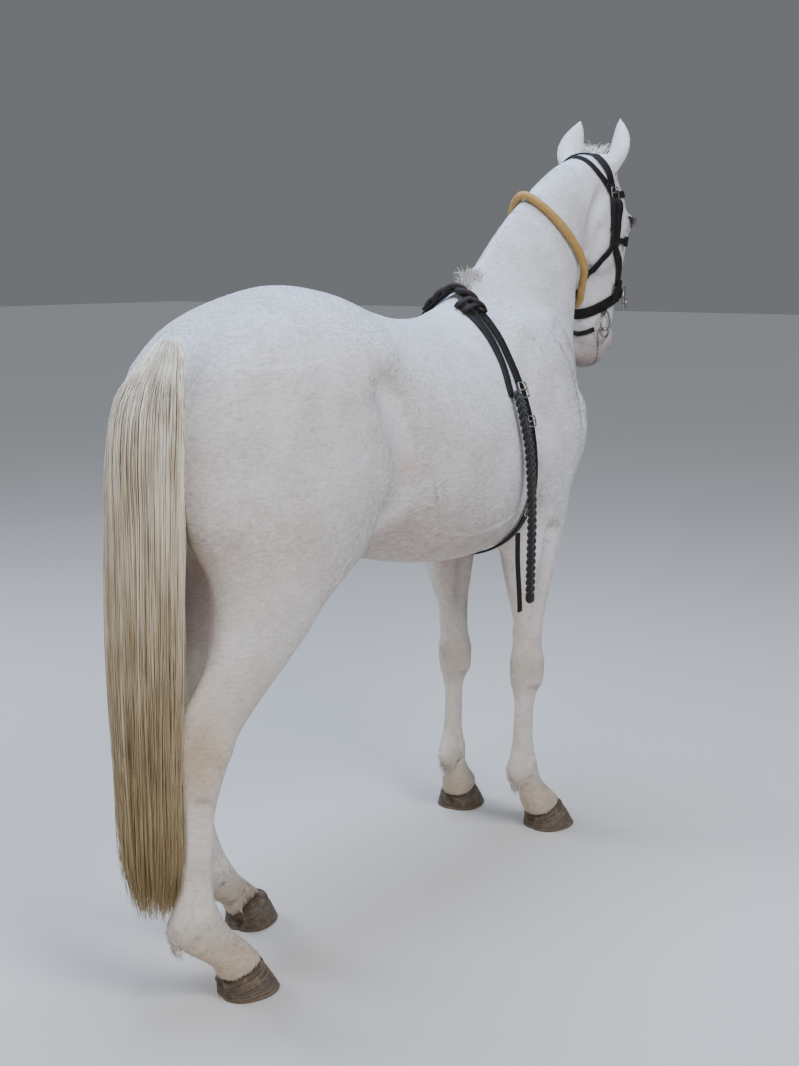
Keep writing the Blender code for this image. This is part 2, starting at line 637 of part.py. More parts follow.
def girth(name, tree, centre, normal, width, thickness, count, finish, reach=0.6, lift=STRAP_CLEARANCE, sag=0.0):
    """A taut strap round a limb: the hull of the limb's section, a little off the flesh. Reach is how far
    from the centre the flesh may lie. Sag lets the lowest part hang loose by that much."""
    centre, normal = Vector(centre), Vector(normal).normalized()
    first = Vector((0, 1, 0))
    second = normal.cross(first)
    section = []
    for n in range(2 * count):
        angle = math.pi * n / count
        out = first * math.cos(angle) + second * math.sin(angle)
        radii = []
        for shift in (-0.5, -0.25, 0, 0.25, 0.5):
            start = centre + out * reach + normal * width * shift
            hit = tree.ray_cast(start, -out, reach)[0]
            if hit:
                radii.append((hit - centre).dot(out))
        if radii:
            radius = max(radii) + lift + thickness / 2
            section.append((radius * math.cos(angle), radius * math.sin(angle)))
    middles = [centre + first * x + second * y for x, y in evenly(hull(section), count, True)]
    lowest = min(point.z for point in middles)
    highest = max(point.z for point in middles)
    middles = [point - Vector((0, 0, sag * ((highest - point.z) / (highest - lowest)) ** 2)) for point in middles]
    middle = sum(middles, Vector()) / count
    normals = []
    for n in range(count):
        run = middles[(n + 1) % count] - middles[n - 1]
        out = run.cross(normal)
        normals.append((out if out.dot(middles[n] - middle) > 0 else -out).normalized())
    return sweep(name, middles, normals, width, thickness, True, finish), middles, normals


def smooth_line(points, spacing):
    """Points along a smooth curve through the given ones."""
    lengths = [0.0]
    for a, b in zip(points, points[1:]):
        lengths.append(lengths[-1] + (Vector(b) - Vector(a)).length)
    table = [(place, *point) for place, point in zip(lengths, points)]
    count = max(2, round(lengths[-1] / spacing) + 1)
    return [Vector(point) for point in along(table, np.linspace(0, lengths[-1], count))]


def laid(name, tree, route, width, thickness, finish, lift=STRAP_CLEARANCE, spacing=0.018, sag=0.0):
    """A strap that lies on the flesh along a route, lifted wherever the flesh bulges under its edges. Sag lets
    it hang loose where it crosses the middle."""
    places = smooth_line(route, spacing)
    feet, normals = [], []
    for place in places:
        hit, normal, _, _ = tree.find_nearest(place)
        feet.append(hit)
        normals.append(normal)
    for _ in range(3):
        padded = [normals[0], *normals, normals[-1]]
        normals = [(a + 2 * b + c).normalized() for a, b, c in zip(padded, normals, padded[2:])]
    lifts = []
    for n, (foot, normal) in enumerate(zip(feet, normals)):
        run = feet[min(n + 1, len(feet) - 1)] - feet[max(n - 1, 0)]
        across = normal.cross(run).normalized() * width / 2
        half_step = run * 0.25
        need = 0.0
        for spot in (foot, foot + across, foot - across, foot + half_step, foot - half_step,
                     foot + across + half_step, foot - across + half_step,
                     foot + across - half_step, foot - across - half_step):
            hit = tree.ray_cast(spot + normal * 0.05, -normal, 0.1)[0]
            if hit:
                need = max(need, (hit - foot).dot(normal))
        lifts.append(need)
    lifts = [max(lifts[max(n - 1, 0):n + 2]) for n in range(len(lifts))]
    middles = [foot + normal * (need + lift + thickness / 2) for foot, normal, need in zip(feet, normals, lifts)]
    widest = max(abs(middle.y) for middle in middles)
    middles = [middle - Vector((0, 0, sag * (1 - (middle.y / widest) ** 2))) for middle in middles]
    return sweep(name, middles, normals, width, thickness, False, finish)


def buckle(name, middle, normal, run, size, bar, lift, finish):
    """A four-sided frame that lies flat on a strap."""
    normal, run = Vector(normal).normalized(), Vector(run).normalized()
    across = normal.cross(run).normalized()
    run = across.cross(normal)
    corners = []
    for n in range(12):
        angle = 2 * math.pi * (n + 0.5) / 12
        x = math.copysign(abs(math.cos(angle)) ** 0.35, math.cos(angle)) * size[0] / 2
        y = math.copysign(abs(math.sin(angle)) ** 0.35, math.sin(angle)) * size[1] / 2
        corners.append(Vector(middle) + normal * (lift + bar / 2) + run * x + across * y)
    return sweep(name, corners, [normal] * 12, bar, bar, True, finish)


def hoop(name, centre, normal, radius, bar, finish):
    """A round metal ring."""
    mesh = bmesh.new()
    profile = bmesh.ops.create_circle(mesh, segments=6, radius=bar / 2, matrix=Matrix.Translation((radius, 0, 0))
                                      @ Matrix.Rotation(math.pi / 2, 4, "X"))
    edges = list({edge for vert in profile["verts"] for edge in vert.link_edges})
    bmesh.ops.spin(mesh, geom=profile["verts"] + edges, cent=(0, 0, 0), axis=(0, 0, 1), angle=2 * math.pi,
                   steps=12, use_merge=True)
    bmesh.ops.remove_doubles(mesh, verts=mesh.verts, dist=0.00001)
    turn = Vector((0, 0, 1)).rotation_difference(Vector(normal)).to_matrix().to_4x4()
    bmesh.ops.transform(mesh, matrix=Matrix.Translation(centre) @ turn, verts=mesh.verts)
    made = bpy.data.meshes.new(name)
    mesh.to_mesh(made)
    mesh.free()
    made.shade_smooth()
    made.materials.append(finish)
    thing = bpy.data.objects.new(name, made)
    bpy.context.scene.collection.objects.link(thing)
    return outwards(thing)


# ---- the horse
FINISHES = {  # colour, roughness, metallic
    "coat": ((0.74, 0.73, 0.71), 0.75, 0.0),
    "tail_hair": ((0.62, 0.52, 0.34), 0.6, 0.0),
    "hoof_horn": ((0.20, 0.165, 0.13), 0.6, 0.0),
    "eye": ((0.02, 0.015, 0.012), 0.1, 0.0),
    "bridle_leather": ((0.035, 0.025, 0.022), 0.5, 0.0),
    "collar_leather": ((0.50, 0.36, 0.15), 0.5, 0.0),
    "rope": ((0.02, 0.018, 0.018), 0.8, 0.0),
    "steel": ((0.45, 0.42, 0.38), 0.35, 1.0),
}
FLESH_BOX = ((-0.95, -0.36, 0.0), (1.25, 0.36, 1.95))
NECK_CUT = ((0.60, 0, 1.35), (0.724, 0, 0.69), (1.2, 0.8))
HEAD_CUT = ((0.9375, 0, 1.70), (0.987, 0, -0.16), (0.30, 0.49))
FOREARM_CUT = ((0.565, 0.17, 0.929), (-0.44, -0.4, 1.0), (0.53, 0.36))
THIGH_CUT = ((-0.52, 0.17, 0.928), (0, -0.45, 1.0), (0.66, 0.36))
LEG_CUTS = {  # across the knee or the hock
    "fore_right": ((0.50, -0.13, 0.455), (0, 0, 1)),
    "fore_left": ((0.50, 0.13, 0.455), (0, 0, 1)),
    "hind_right": ((-0.72, -0.11, 0.56), (-0.35, 0, 1)),
    "hind_left": ((-0.64, 0.11, 0.56), (-0.35, 0, 1)),
}
EAR_CUT = ((1.040, 0.068, 1.892), (0.25, 0.30, 0.92))
EYE = on_head(0.162, 0.078, 0.080)
BODY_SPOTS = {"trunk": (0.0, 0, 1.18), "neck": (0.69, 0, 1.51), "head": (1.04, 0, 1.57)}
LEG_SPOTS = {
    "fore_right": (0.51, -0.13, 0.50),
    "fore_left": (0.51, 0.13, 0.50),
    "hind_right": (-0.57, -0.14, 0.50),
    "hind_left": (-0.52, 0.14, 0.50),
}


def both_sides(point):
    return [(point[0], -point[1], point[2]), point]


def make_flesh(masses):
    axes = grid_axes(*FLESH_BOX, FLESH_GRID)
    flesh = put("flesh", *net(axes, field(masses, axes)))
    return thin_out(flesh, FLESH_TRIANGLES)


def kept_half(part, point, normal):
    """The half of a lump on the normal's side of a plane, closed with a flat face."""
    mesh = bmesh.new()
    verts = [mesh.verts.new(spot) for spot in part[0]]
    for face in part[1]:
        mesh.faces.new([verts[n] for n in face])
    bmesh.ops.bisect_plane(mesh, geom=mesh.verts[:] + mesh.edges[:] + mesh.faces[:], plane_co=point,
                           plane_no=normal, clear_inner=True, dist=0.00001)
    bmesh.ops.remove_doubles(mesh, verts=mesh.verts, dist=SLIVER)
    rim = [edge for edge in mesh.edges if edge.is_boundary]
    bmesh.ops.triangle_fill(mesh, use_beauty=True, use_dissolve=False, edges=rim)
    bmesh.ops.recalc_face_normals(mesh, faces=mesh.faces)
    mesh.verts.index_update()
    half = ([vert.co.copy() for vert in mesh.verts], [[vert.index for vert in face.verts] for face in mesh.faces])
    mesh.free()
    return half


def nearest(parts, spot):
    """The lump whose box has its middle nearest the spot."""
    def far(part):
        low = [min(point[n] for point in part[0]) for n in range(3)]
        high = [max(point[n] for point in part[0]) for n in range(3)]
        return (Vector(low) + Vector(high) - 2 * Vector(spot)).length

    return min(parts, key=far)


def flesh_piece(name, part, finish):
    thing = put(name, *part, finish)
    thing.data.set_sharp_from_angle(angle=math.radians(50))
    return outwards(thing)


def part_flesh(flesh, finish):
    """Parts the flesh with thin cuts into trunk, neck, head and legs."""
    cut_away(flesh, slab(*NECK_CUT))
    cut_away(flesh, slab(*HEAD_CUT, (0, 1, 0)))
    for point, normal, size in (FOREARM_CUT, THIGH_CUT):
        for spot, lean in zip(both_sides(point), both_sides(normal)):
            cut_away(flesh, slab(spot, lean, size))
    parts = loose_parts(flesh)
    bpy.data.objects.remove(flesh)
    for name, spot in BODY_SPOTS.items():
        flesh_piece(name, nearest(parts, spot), finish)
    for name, spot in LEG_SPOTS.items():
        whole = nearest(parts, spot)
        point, lean = LEG_CUTS[name]
        lean = Vector(lean).normalized()
        frame = leg_frame(name)
        coronet = (frame.to_3x3() @ Vector((-CORONET_SLOPE, 0, 1))).normalized()
        flesh_piece(name + "_upper", kept_half(whole, Vector(point) + lean * GAP / 2, lean), finish)
        lower = kept_half(whole, Vector(point) - lean * GAP / 2, -lean)
        lower = kept_half(lower, frame @ Vector((0, 0, CORONET_HEIGHT)), coronet)
        flesh_piece(name + "_lower", lower, finish)


def finish_head(finish):
    """Joins the ears to the head, parts them from it again above their roots, and opens the eye sockets."""
    head = bpy.data.objects["head"]
    point, normal = EAR_CUT
    for name, side, spot, lean in zip(("ear_right", "ear_left"), (-1, 1), both_sides(point), both_sides(normal)):
        lean = Vector(lean).normalized()
        whole = ear(side)
        flesh_piece(name, kept_half(whole, Vector(spot) + lean * GAP / 2, lean), finish)
        root = outwards(put("root", *kept_half(whole, Vector(spot) - lean * GAP / 2, -lean)))
        modify(head, "BOOLEAN", operation="UNION", object=root)
        apply_modifiers(head)
        bpy.data.objects.remove(root)
    for spot in both_sides(EYE):
        cut_away(head, ball("socket", spot, EYE_RADIUS + 1.5 * GAP))


def main():
    for thing in list(bpy.data.objects):
        bpy.data.objects.remove(thing)
    finishes = {name: material(name, *look) for name, look in FINISHES.items()}
    masses = flesh_masses()
    flesh = make_flesh(masses)
    tree = thing_tree(flesh)
    part_flesh(flesh, finishes["coat"])
    finish_head(finishes["coat"])
    for name in STANCE:
        hoof(name, finishes["hoof_horn"])
    for name, spot in zip(("eye_right", "eye_left"), both_sides(EYE)):
        ball(name, spot, EYE_RADIUS, finishes["eye"])
    make_hair(masses, finishes["tail_hair"])
    make_bridle(tree, finishes)
    make_surcingle(tree, finishes)
    stand = bpy.data.objects.new("stand", None)
    bpy.context.scene.collection.objects.link(stand)
    stand.location = (-BOX_CENTRE[0], -BOX_CENTRE[1], 0)
    for thing in bpy.data.objects:
        if thing.type != "EMPTY":
            thing.parent = stand


def make_hair(masses, finish):
    tail = Limb(TAIL_FOOT, TAIL_LINE, (1, 0, 0), TAIL, 0.01, ((-0.95, -0.16, 0.12), (-0.60, 0.16, 1.48)))
    hair("tail", [tail], masses, (-0.93, -0.14, 0.14), (-0.62, 0.14, 1.46), 420, 0.008, finish)
    lock = [Egg(on_head(-0.040, 0.022), (0.030, 0.034, 0.022), 0.02),
            Rod(on_head(-0.030, 0.040), on_head(0.034, 0.092), 0.022, 0.02)]
    hair("forelock", lock, masses, (1.019, -0.06, 1.70), (1.20, 0.06, 1.95), 160, 0.003, finish)
    tuft = [Rod((0.348, 0, 1.524), (0.435, 0, 1.576), 0.014, 0.02)]
    hair("mane_tuft", tuft, masses, (0.30, -0.05, 1.46), (0.50, 0.05, 1.64), 90, 0.005, finish)


CROWN_BUCKLE = on_head(0.078, -0.014, -0.086)
CHEEK_JOINT = on_head(0.213, -0.030, -0.095)
CHEEK_BOSS = on_head(0.215, 0.050, -0.090)
CROWN_BACK = [on_head(0.052, -0.046, -0.078), on_head(0.020, -0.070, -0.062), on_head(-0.012, -0.088, -0.030),
              on_head(-0.020, -0.092, 0.0)]
CROWN_FRONT = [on_head(0.050, -0.022, -0.082), on_head(0.012, -0.036, -0.074), on_head(-0.018, -0.042, -0.045),
               on_head(-0.035, -0.040, 0.0)]
CHEEK_UPPER = [on_head(0.100, -0.016, -0.088), on_head(0.150, -0.022, -0.094), on_head(0.188, -0.026, -0.096)]
CHEEK_LOWER = [on_head(0.240, -0.008, -0.092), on_head(0.275, 0.032, -0.082), on_head(0.318, 0.046, -0.074),
               on_head(0.345, 0.046, -0.068)]
THROATLATCH = [on_head(0.240, -0.046, -0.092), on_head(0.268, -0.080, -0.080), on_head(0.300, -0.098, -0.045),
               on_head(0.310, -0.102, 0.0)]
THROATLATCH_SAG = 0.016
BROWBAND = [on_head(0.082, 0.012, -0.088), on_head(0.078, 0.060, -0.082), on_head(0.074, 0.100, -0.040),
            on_head(0.073, 0.112, 0.0)]
CURB = [on_head(0.470, -0.030, -0.040), on_head(0.480, -0.055, -0.020), on_head(0.483, -0.060, 0.0)]
NOSEBAND = (on_head(0.385, 0.035), (0.367, 0, -0.93))
HEADSTRAP_WIDTH = 0.020
HEADSTRAP_THICKNESS = 0.004


def mirrored(route):
    return [(x, -y, z) for x, y, z in route]


def across_middle(route):
    """A route that ends on the middle of the head, carried on down the other side."""
    return route + mirrored(route[:-1])[::-1]


def make_bridle(tree, finishes):
    leather, steel = finishes["bridle_leather"], finishes["steel"]
    width, thickness = HEADSTRAP_WIDTH, HEADSTRAP_THICKNESS
    laid("bridle_crown_back", tree, across_middle(CROWN_BACK), width, thickness, leather)
    laid("bridle_crown_front", tree, across_middle(CROWN_FRONT), width, thickness, leather)
    laid("browband", tree, across_middle(BROWBAND), width, thickness, leather)
    laid("throatlatch", tree, across_middle(THROATLATCH), width, thickness, leather, 0.004, sag=THROATLATCH_SAG)
    laid("curb_strap", tree, across_middle(CURB), 0.014, thickness, leather)
    girth("noseband", tree, *NOSEBAND, 0.030, 0.006, 24, leather, 0.15, 0.004)
    for side, flip in (("right", 1), ("left", -1)):
        turn = (lambda route: route) if flip == 1 else mirrored
        laid("cheek_upper_" + side, tree, turn(CHEEK_UPPER), 0.044, 0.007, leather)
        laid("cheek_lower_" + side, tree, turn(CHEEK_LOWER), 0.028, 0.005, leather)
        foot, normal, _, _ = tree.find_nearest(turn([CROWN_BUCKLE])[0])
        buckle("crown_buckle_" + side, foot, normal, (0, 0, 1), (0.030, 0.034), 0.006, 0.003, steel)
        for name, spot, size in (("cheek_joint_", CHEEK_JOINT, 0.034), ("cheek_boss_", CHEEK_BOSS, 0.030)):
            foot, normal, _, _ = tree.find_nearest(turn([spot])[0])
            run = normal.cross(Vector((0, 0, 1))).cross(normal).normalized() * size / 2
            middle = foot + normal * 0.009
            sweep(name + side, [middle - run, middle + run], [normal, normal], size, 0.011, False, leather)
        centre = on_head(0.456, -0.008, -0.065 * flip)
        hoop("bit_ring_" + side, centre, (0.15, -flip, 0), 0.038, 0.007, steel)
    hoop("noseband_ring", on_head(0.381, 0.080, -0.080), (0.35, -0.94, 0.0), 0.036, 0.007, steel)


SURCINGLE_X = 0.320
SURCINGLE_WIDTH = 0.026
SURCINGLE_THICKNESS = 0.005
FALL = [(0.286, -0.090, 1.445), (0.284, -0.140, 1.392), (0.272, -0.195, 1.320), (0.252, -0.235, 1.262)]
FALL_WIDTH = 0.028
PLAIT = [(0.2508, -0.2350, 1.2600), (0.244, -0.254, 1.222), (0.240, -0.268, 1.18), (0.236, -0.282, 1.13),
         (0.231, -0.294, 1.04), (0.226, -0.301, 0.94), (0.222, -0.302, 0.84), (0.220, -0.302, 0.735)]
PLAIT_DIAMETER = 0.028
BILLET_TOP = 0.885  # height on the surcingle where the loose end leaves it
BILLET_END = 0.675
BILLET_DRIFT = 0.012
BILLET_WIDTH = 0.020
BILLET_THICKNESS = 0.005


def tube(name, route, diameter, finish):
    """A round rope along points, closed at both ends."""
    curve = bpy.data.curves.new(name, "CURVE")
    curve.dimensions = "3D"
    curve.bevel_depth = diameter / 2
    curve.bevel_resolution = 3
    curve.use_fill_caps = True
    line = curve.splines.new("POLY")
    places = smooth_line(route, 2.5 * diameter)
    line.points.add(len(places) - 1)
    for point, place in zip(line.points, places):
        point.co = (*place, 1)
    curve.materials.append(finish)
    thing = bpy.data.objects.new(name, curve)
    bpy.context.scene.collection.objects.link(thing)


def wrap(name, tree, middle, run, reach, height, width, thickness, finish):
    """A short band that arches over a strap, from the flesh on one side to the flesh on the other."""
    foot, normal, _, _ = tree.find_nearest(middle)
    run = Vector(run)
    run = (run - normal * run.dot(normal)).normalized()
    across = normal.cross(run)
    places, normals = [], []
    for n in range(9):
        angle = math.pi * (n / 8 - 0.5)
        side = math.sin(angle)
        place = foot + across * side * reach + normal * height
        hit = tree.ray_cast(place + normal * 0.05, -normal, 0.2)[0]
        floor = (hit - foot).dot(normal)
        lift = max(height * math.cos(angle) ** 0.5, floor + thickness / 2 + STRAP_CLEARANCE)
        places.append(foot + across * side * reach + normal * lift)
        normals.append((normal * math.cos(angle) ** 0.5 + across * side).normalized())
    return sweep(name, places, normals, width, thickness, False, finish)


def make_surcingle(tree, finishes):
    leather, steel = finishes["bridle_leather"], finishes["steel"]
    girth("neck_collar", tree, (0.784, 0, 1.612), (0.744, 0, 0.668), 0.024, 0.020, 32,
          finishes["collar_leather"], 0.215, 0.005, 0.030)
    _, middles, normals = girth("surcingle", tree, (SURCINGLE_X, 0, 1.16), (1, 0, 0), SURCINGLE_WIDTH,
                                SURCINGLE_THICKNESS, 44, leather, lift=0.0045)
    laid("strap_fall", tree, FALL, FALL_WIDTH, 0.006, leather, spacing=0.02)
    for name, spot in (("knot_upper", (0.306, -0.046, 1.472)), ("knot_lower", (0.306, -0.066, 1.456))):
        wrap(name, tree, spot, (0, -0.7, -0.7), 0.034, 0.022, 0.016, 0.006, leather)
    for name, height, size in (("girth_buckle_upper", 1.255, (0.040, 0.036)),
                               ("girth_buckle_middle", 1.18, (0.026, 0.034)),
                               ("girth_buckle_lower", 0.955, (0.046, 0.038))):
        middle, normal = min(zip(middles, normals), key=lambda pair: abs(pair[0].z - height) + (pair[0].y > 0))
        run = normal.cross(Vector((1, 0, 0)))
        buckle(name, middle, normal, run, size, 0.006, SURCINGLE_THICKNESS / 2 + 2 * GAP, steel)
    tube("plait", PLAIT, PLAIT_DIAMETER, finishes["rope"])
    top, normal = min(zip(middles, normals), key=lambda pair: abs(pair[0].z - BILLET_TOP) + (pair[0].y > 0))
    out = top + normal * (SURCINGLE_THICKNESS + 2 * GAP) + Vector((0, -BILLET_THICKNESS, 0))
    drop = (out.z - BILLET_END) / 4
    billet = [out + Vector((BILLET_DRIFT * n / 4, 0, -drop * n)) for n in range(5)]
    sweep("billet", billet, [Vector((0, -1, 0))] * 5, BILLET_WIDTH, BILLET_THICKNESS, False, leather)


main()
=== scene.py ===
from math import copysign, cos, exp, hypot, pi, radians, sin, sqrt

import bmesh
import bpy
import numpy as np
from mathutils import Matrix, Vector
from mathutils.bvhtree import BVHTree


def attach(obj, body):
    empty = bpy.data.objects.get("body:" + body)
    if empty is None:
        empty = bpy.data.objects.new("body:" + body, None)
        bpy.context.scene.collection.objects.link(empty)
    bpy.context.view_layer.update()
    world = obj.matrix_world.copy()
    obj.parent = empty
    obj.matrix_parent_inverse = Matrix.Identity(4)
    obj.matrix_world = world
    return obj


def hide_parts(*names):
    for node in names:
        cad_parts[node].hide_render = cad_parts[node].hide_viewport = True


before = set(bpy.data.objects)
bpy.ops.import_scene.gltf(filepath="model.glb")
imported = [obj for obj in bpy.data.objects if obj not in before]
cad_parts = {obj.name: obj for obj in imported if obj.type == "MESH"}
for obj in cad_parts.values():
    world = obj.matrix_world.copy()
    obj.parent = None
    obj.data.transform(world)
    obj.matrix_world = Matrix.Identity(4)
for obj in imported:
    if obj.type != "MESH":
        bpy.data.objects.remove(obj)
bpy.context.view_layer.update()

SHIFT = np.array((.1495, -.0003, 0.0))  # the measures below are of the body, before its box was centred
COAT_DEPTH = .0025  # the skin lies this far inside the solids
SKIN_GRID = .011
SEED = 7
random = np.random.default_rng(SEED)

def placed(name, data):
    """A new object in the scene."""
    thing = bpy.data.objects.new(name, data)
    bpy.context.scene.collection.objects.link(thing)
    return thing

# ---- camera
EYE_POINT = (-3.0995, -2.1997, 1.58)
CAMERA_YAW = 36.0
CAMERA_DIP = 10.3
CAMERA_LENS = 50.657
SENSOR = 36.0

view = bpy.data.cameras.new("camera")
view.lens = CAMERA_LENS
view.sensor_width = view.sensor_height = SENSOR
view.sensor_fit = "VERTICAL"
camera = placed("camera", view)
yaw, dip = radians(CAMERA_YAW), radians(CAMERA_DIP)
aim = Vector((cos(yaw) * cos(dip), sin(yaw) * cos(dip), -sin(dip)))
camera.location = EYE_POINT
camera.rotation_euler = aim.to_track_quat("-Z", "Y").to_euler()
bpy.context.scene.camera = camera

# ---- materials
def linear(text):
    """The linear colour of an sRGB hex code."""
    parts = [int(text[n:n + 2], 16) / 255 for n in (1, 3, 5)]
    return tuple(part / 12.92 if part <= .04045 else ((part + .055) / 1.055) ** 2.4 for part in parts)

def rgba(colour):
    """A colour with its alpha, from a hex code or from linear parts."""
    return (*(linear(colour) if isinstance(colour, str) else colour), 1)

def add(tree, kind, inputs=(), **settings):
    """One node, its settings, and its inputs as values or as sockets to link."""
    made = tree.nodes.new(kind)
    for key, value in settings.items():
        setattr(made, key, value)
    for key, value in dict(inputs).items():
        if isinstance(value, bpy.types.NodeSocket):
            tree.links.new(value, made.inputs[key])
        else:
            made.inputs[key].default_value = value
    return made

def ramp(tree, fac, *stops):
    """A colour ramp through (place, colour) stops."""
    made = add(tree, "ShaderNodeValToRGB", {0: fac})
    bar = made.color_ramp
    while len(bar.elements) < len(stops):
        bar.elements.new(.5)
    for element, (place, colour) in zip(bar.elements, stops):
        element.position = place
        element.color = rgba(colour)
    return made.outputs[0]

def new_material(name, **fixed):
    made = bpy.data.materials.new(name)
    made.use_nodes = True
    tree = made.node_tree
    shader = tree.nodes["Principled BSDF"]
    for key, value in fixed.items():
        socket = shader.inputs[key.replace("_", " ")]
        socket.default_value = (*value, 1) if isinstance(value, tuple) and len(value) == 3 else value
    return made, tree, shader

def mapped(tree, scale, uv=None):
    """Object coordinates, or a UV map, in units that put scale cells in a metre along each axis."""
    if uv:
        place = add(tree, "ShaderNodeUVMap", uv_map=uv).outputs[0]
    else:
        place = add(tree, "ShaderNodeTexCoord").outputs["Object"]
    return add(tree, "ShaderNodeMapping", {"Vector": place, "Scale": scale}).outputs[0]

def noise(tree, scale, detail, roughness=.5, uv=None):
    return add(tree, "ShaderNodeTexNoise", {"Vector": mapped(tree, scale, uv), "Scale": 1.0, "Detail": detail,
        "Roughness": roughness}).outputs[0]

def mixed(tree, fac, first, second, blend="MIX"):
    made = add(tree, "ShaderNodeMix", {"Factor": fac}, data_type="RGBA", blend_type=blend)
    for socket, value in zip((made.inputs[6], made.inputs[7]), (first, second)):
        if isinstance(value, bpy.types.NodeSocket):
            tree.links.new(value, socket)
        else:
            socket.default_value = rgba(value)
    return made.outputs[2]

def reckoned(tree, operation, *values):
    """A sum, product or the like of values and sockets."""
    return add(tree, "ShaderNodeMath", dict(enumerate(values)), operation=operation).outputs[0]

def cracks(tree, scale):
    """How far each place is from the edges of a net of cells."""
    return add(tree, "ShaderNodeTexVoronoi", {"Vector": mapped(tree, scale), "Scale": 1.0},
        feature="DISTANCE_TO_EDGE").outputs[0]

def uv_parts(tree, key):
    """The place on a UV map as separate numbers."""
    return add(tree, "ShaderNodeSeparateXYZ", {0: add(tree, "ShaderNodeUVMap", uv_map=key).outputs[0]}).outputs

def painted(tree, shader, colour):
    tree.links.new(colour, shader.inputs["Base Color"])

def bumped(tree, shader, *layers):
    """Bump layers (height socket, distance in metres, strength), laid over each other."""
    normal = None
    for height, distance, strength in layers:
        inputs = {"Height": height, "Distance": distance, "Strength": strength}
        if normal:
            inputs["Normal"] = normal
        normal = add(tree, "ShaderNodeBump", inputs).outputs[0]
    tree.links.new(normal, shader.inputs["Normal"])

def coat_material(name, tufts=False):
    """Short white horse hair over pink and grey skin. The marks attribute is the colour by place, with painted light
    and shade in it, and bare is how little hair there is."""
    made, tree, shader = new_material(name, Roughness=.62, Sheen_Weight=.18, Sheen_Roughness=.4,
        Specular_IOR_Level=.28)
    marks = add(tree, "ShaderNodeAttribute", attribute_name="marks").outputs["Color"]
    bare = add(tree, "ShaderNodeAttribute", attribute_name="bare").outputs["Fac"]
    mottle = noise(tree, (9, 9, 9), 6.0, .62)
    streak = noise(tree, (55, 55, 210), 4.0, .6)
    fine = noise(tree, (420, 420, 900), 2.0)
    shade = ramp(tree, mottle, (.3, "#dcd5cc"), (.62, "#ffffff"))
    colour = mixed(tree, .55, marks, shade, "MULTIPLY")
    strand = ramp(tree, streak, (.32, "#d2ccc4"), (.6, "#ffffff"))
    colour = mixed(tree, .42, colour, strand, "MULTIPLY")
    speck = ramp(tree, fine, (.3, "#cfc8c0"), (.55, "#ffffff"))
    colour = mixed(tree, .3, colour, speck, "MULTIPLY")
    painted(tree, shader, colour)
    if not tufts:
        ripple = reckoned(tree, "MULTIPLY", streak, reckoned(tree, "SUBTRACT", 1.0, bare))
        pores = reckoned(tree, "MULTIPLY", cracks(tree, (160, 160, 230)), bare)
        bumped(tree, shader, (ripple, .003, .55), (fine, .001, .45), (pores, .0012, .35))
    return made

def strand_material(name, root, tip, dark, roughness=.55):
    """Long horse hair: coarse and a little glossy. The strand UV map gives each strand its own shade."""
    made, tree, shader = new_material(name, Roughness=roughness, Specular_IOR_Level=.45, Sheen_Weight=.1)
    place = uv_parts(tree, "strand")
    half = [(a + b) / 2 for a, b in zip(linear(root), linear(tip))]
    length = ramp(tree, place[1], (0.0, root), (.3, root), (.62, half), (1.0, tip))
    shade = add(tree, "ShaderNodeTexWhiteNoise", {"W": place[0]}, noise_dimensions="1D").outputs[0]
    colour = mixed(tree, ramp(tree, shade, (.7, (0, 0, 0)), (1.0, (.8, .8, .8))), length, dark)
    soft = noise(tree, (30, 30, 8), 4.0)
    tone = ramp(tree, soft, (.35, "#c8bca8"), (.6, "#ffffff"))
    painted(tree, shader, mixed(tree, .6, colour, tone, "MULTIPLY"))
    return made

def leather_material(name, base, worn, roughness):
    """Harness leather: dyed and waxed, so it has a broken gloss, a fine grain and paler worn edges."""
    made, tree, shader = new_material(name, Roughness=roughness, Specular_IOR_Level=.32)
    grain = cracks(tree, (900, 900, 900))
    wear = noise(tree, (45, 45, 45), 8.0, .7)
    off_middle = reckoned(tree, "ABSOLUTE", reckoned(tree, "SUBTRACT", uv_parts(tree, "strap")[1], .5))
    edge = reckoned(tree, "MULTIPLY_ADD", off_middle, wear, .08)
    colour = mixed(tree, ramp(tree, wear, (.4, (0, 0, 0)), (.72, (.55, .55, .55))), base, worn)
    colour = mixed(tree, ramp(tree, edge, (.27, (0, 0, 0)), (.4, (1, 1, 1))), colour, worn)
    painted(tree, shader, colour)
    gloss = add(tree, "ShaderNodeMapRange", {"Value": wear, "From Min": .3, "From Max": .7,
        "To Min": roughness - .1, "To Max": roughness + .15})
    tree.links.new(gloss.outputs[0], shader.inputs["Roughness"])
    bumped(tree, shader, (grain, .0004, .5), (wear, .0015, .4))
    return made

def steel_material(name):
    """Old plated steel: scuffed, with brown in the pits."""
    made, tree, shader = new_material(name, Metallic=1.0, Roughness=.35)
    scuff = noise(tree, (160, 160, 160), 8.0, .7)
    painted(tree, shader, ramp(tree, scuff, (.36, "#5b4a3a"), (.52, "#a9a39a")))
    gloss = add(tree, "ShaderNodeMapRange", {"Value": scuff, "To Min": .6, "To Max": .2})
    tree.links.new(gloss.outputs[0], shader.inputs["Roughness"])
    bumped(tree, shader, (scuff, .0006, .3))
    return made

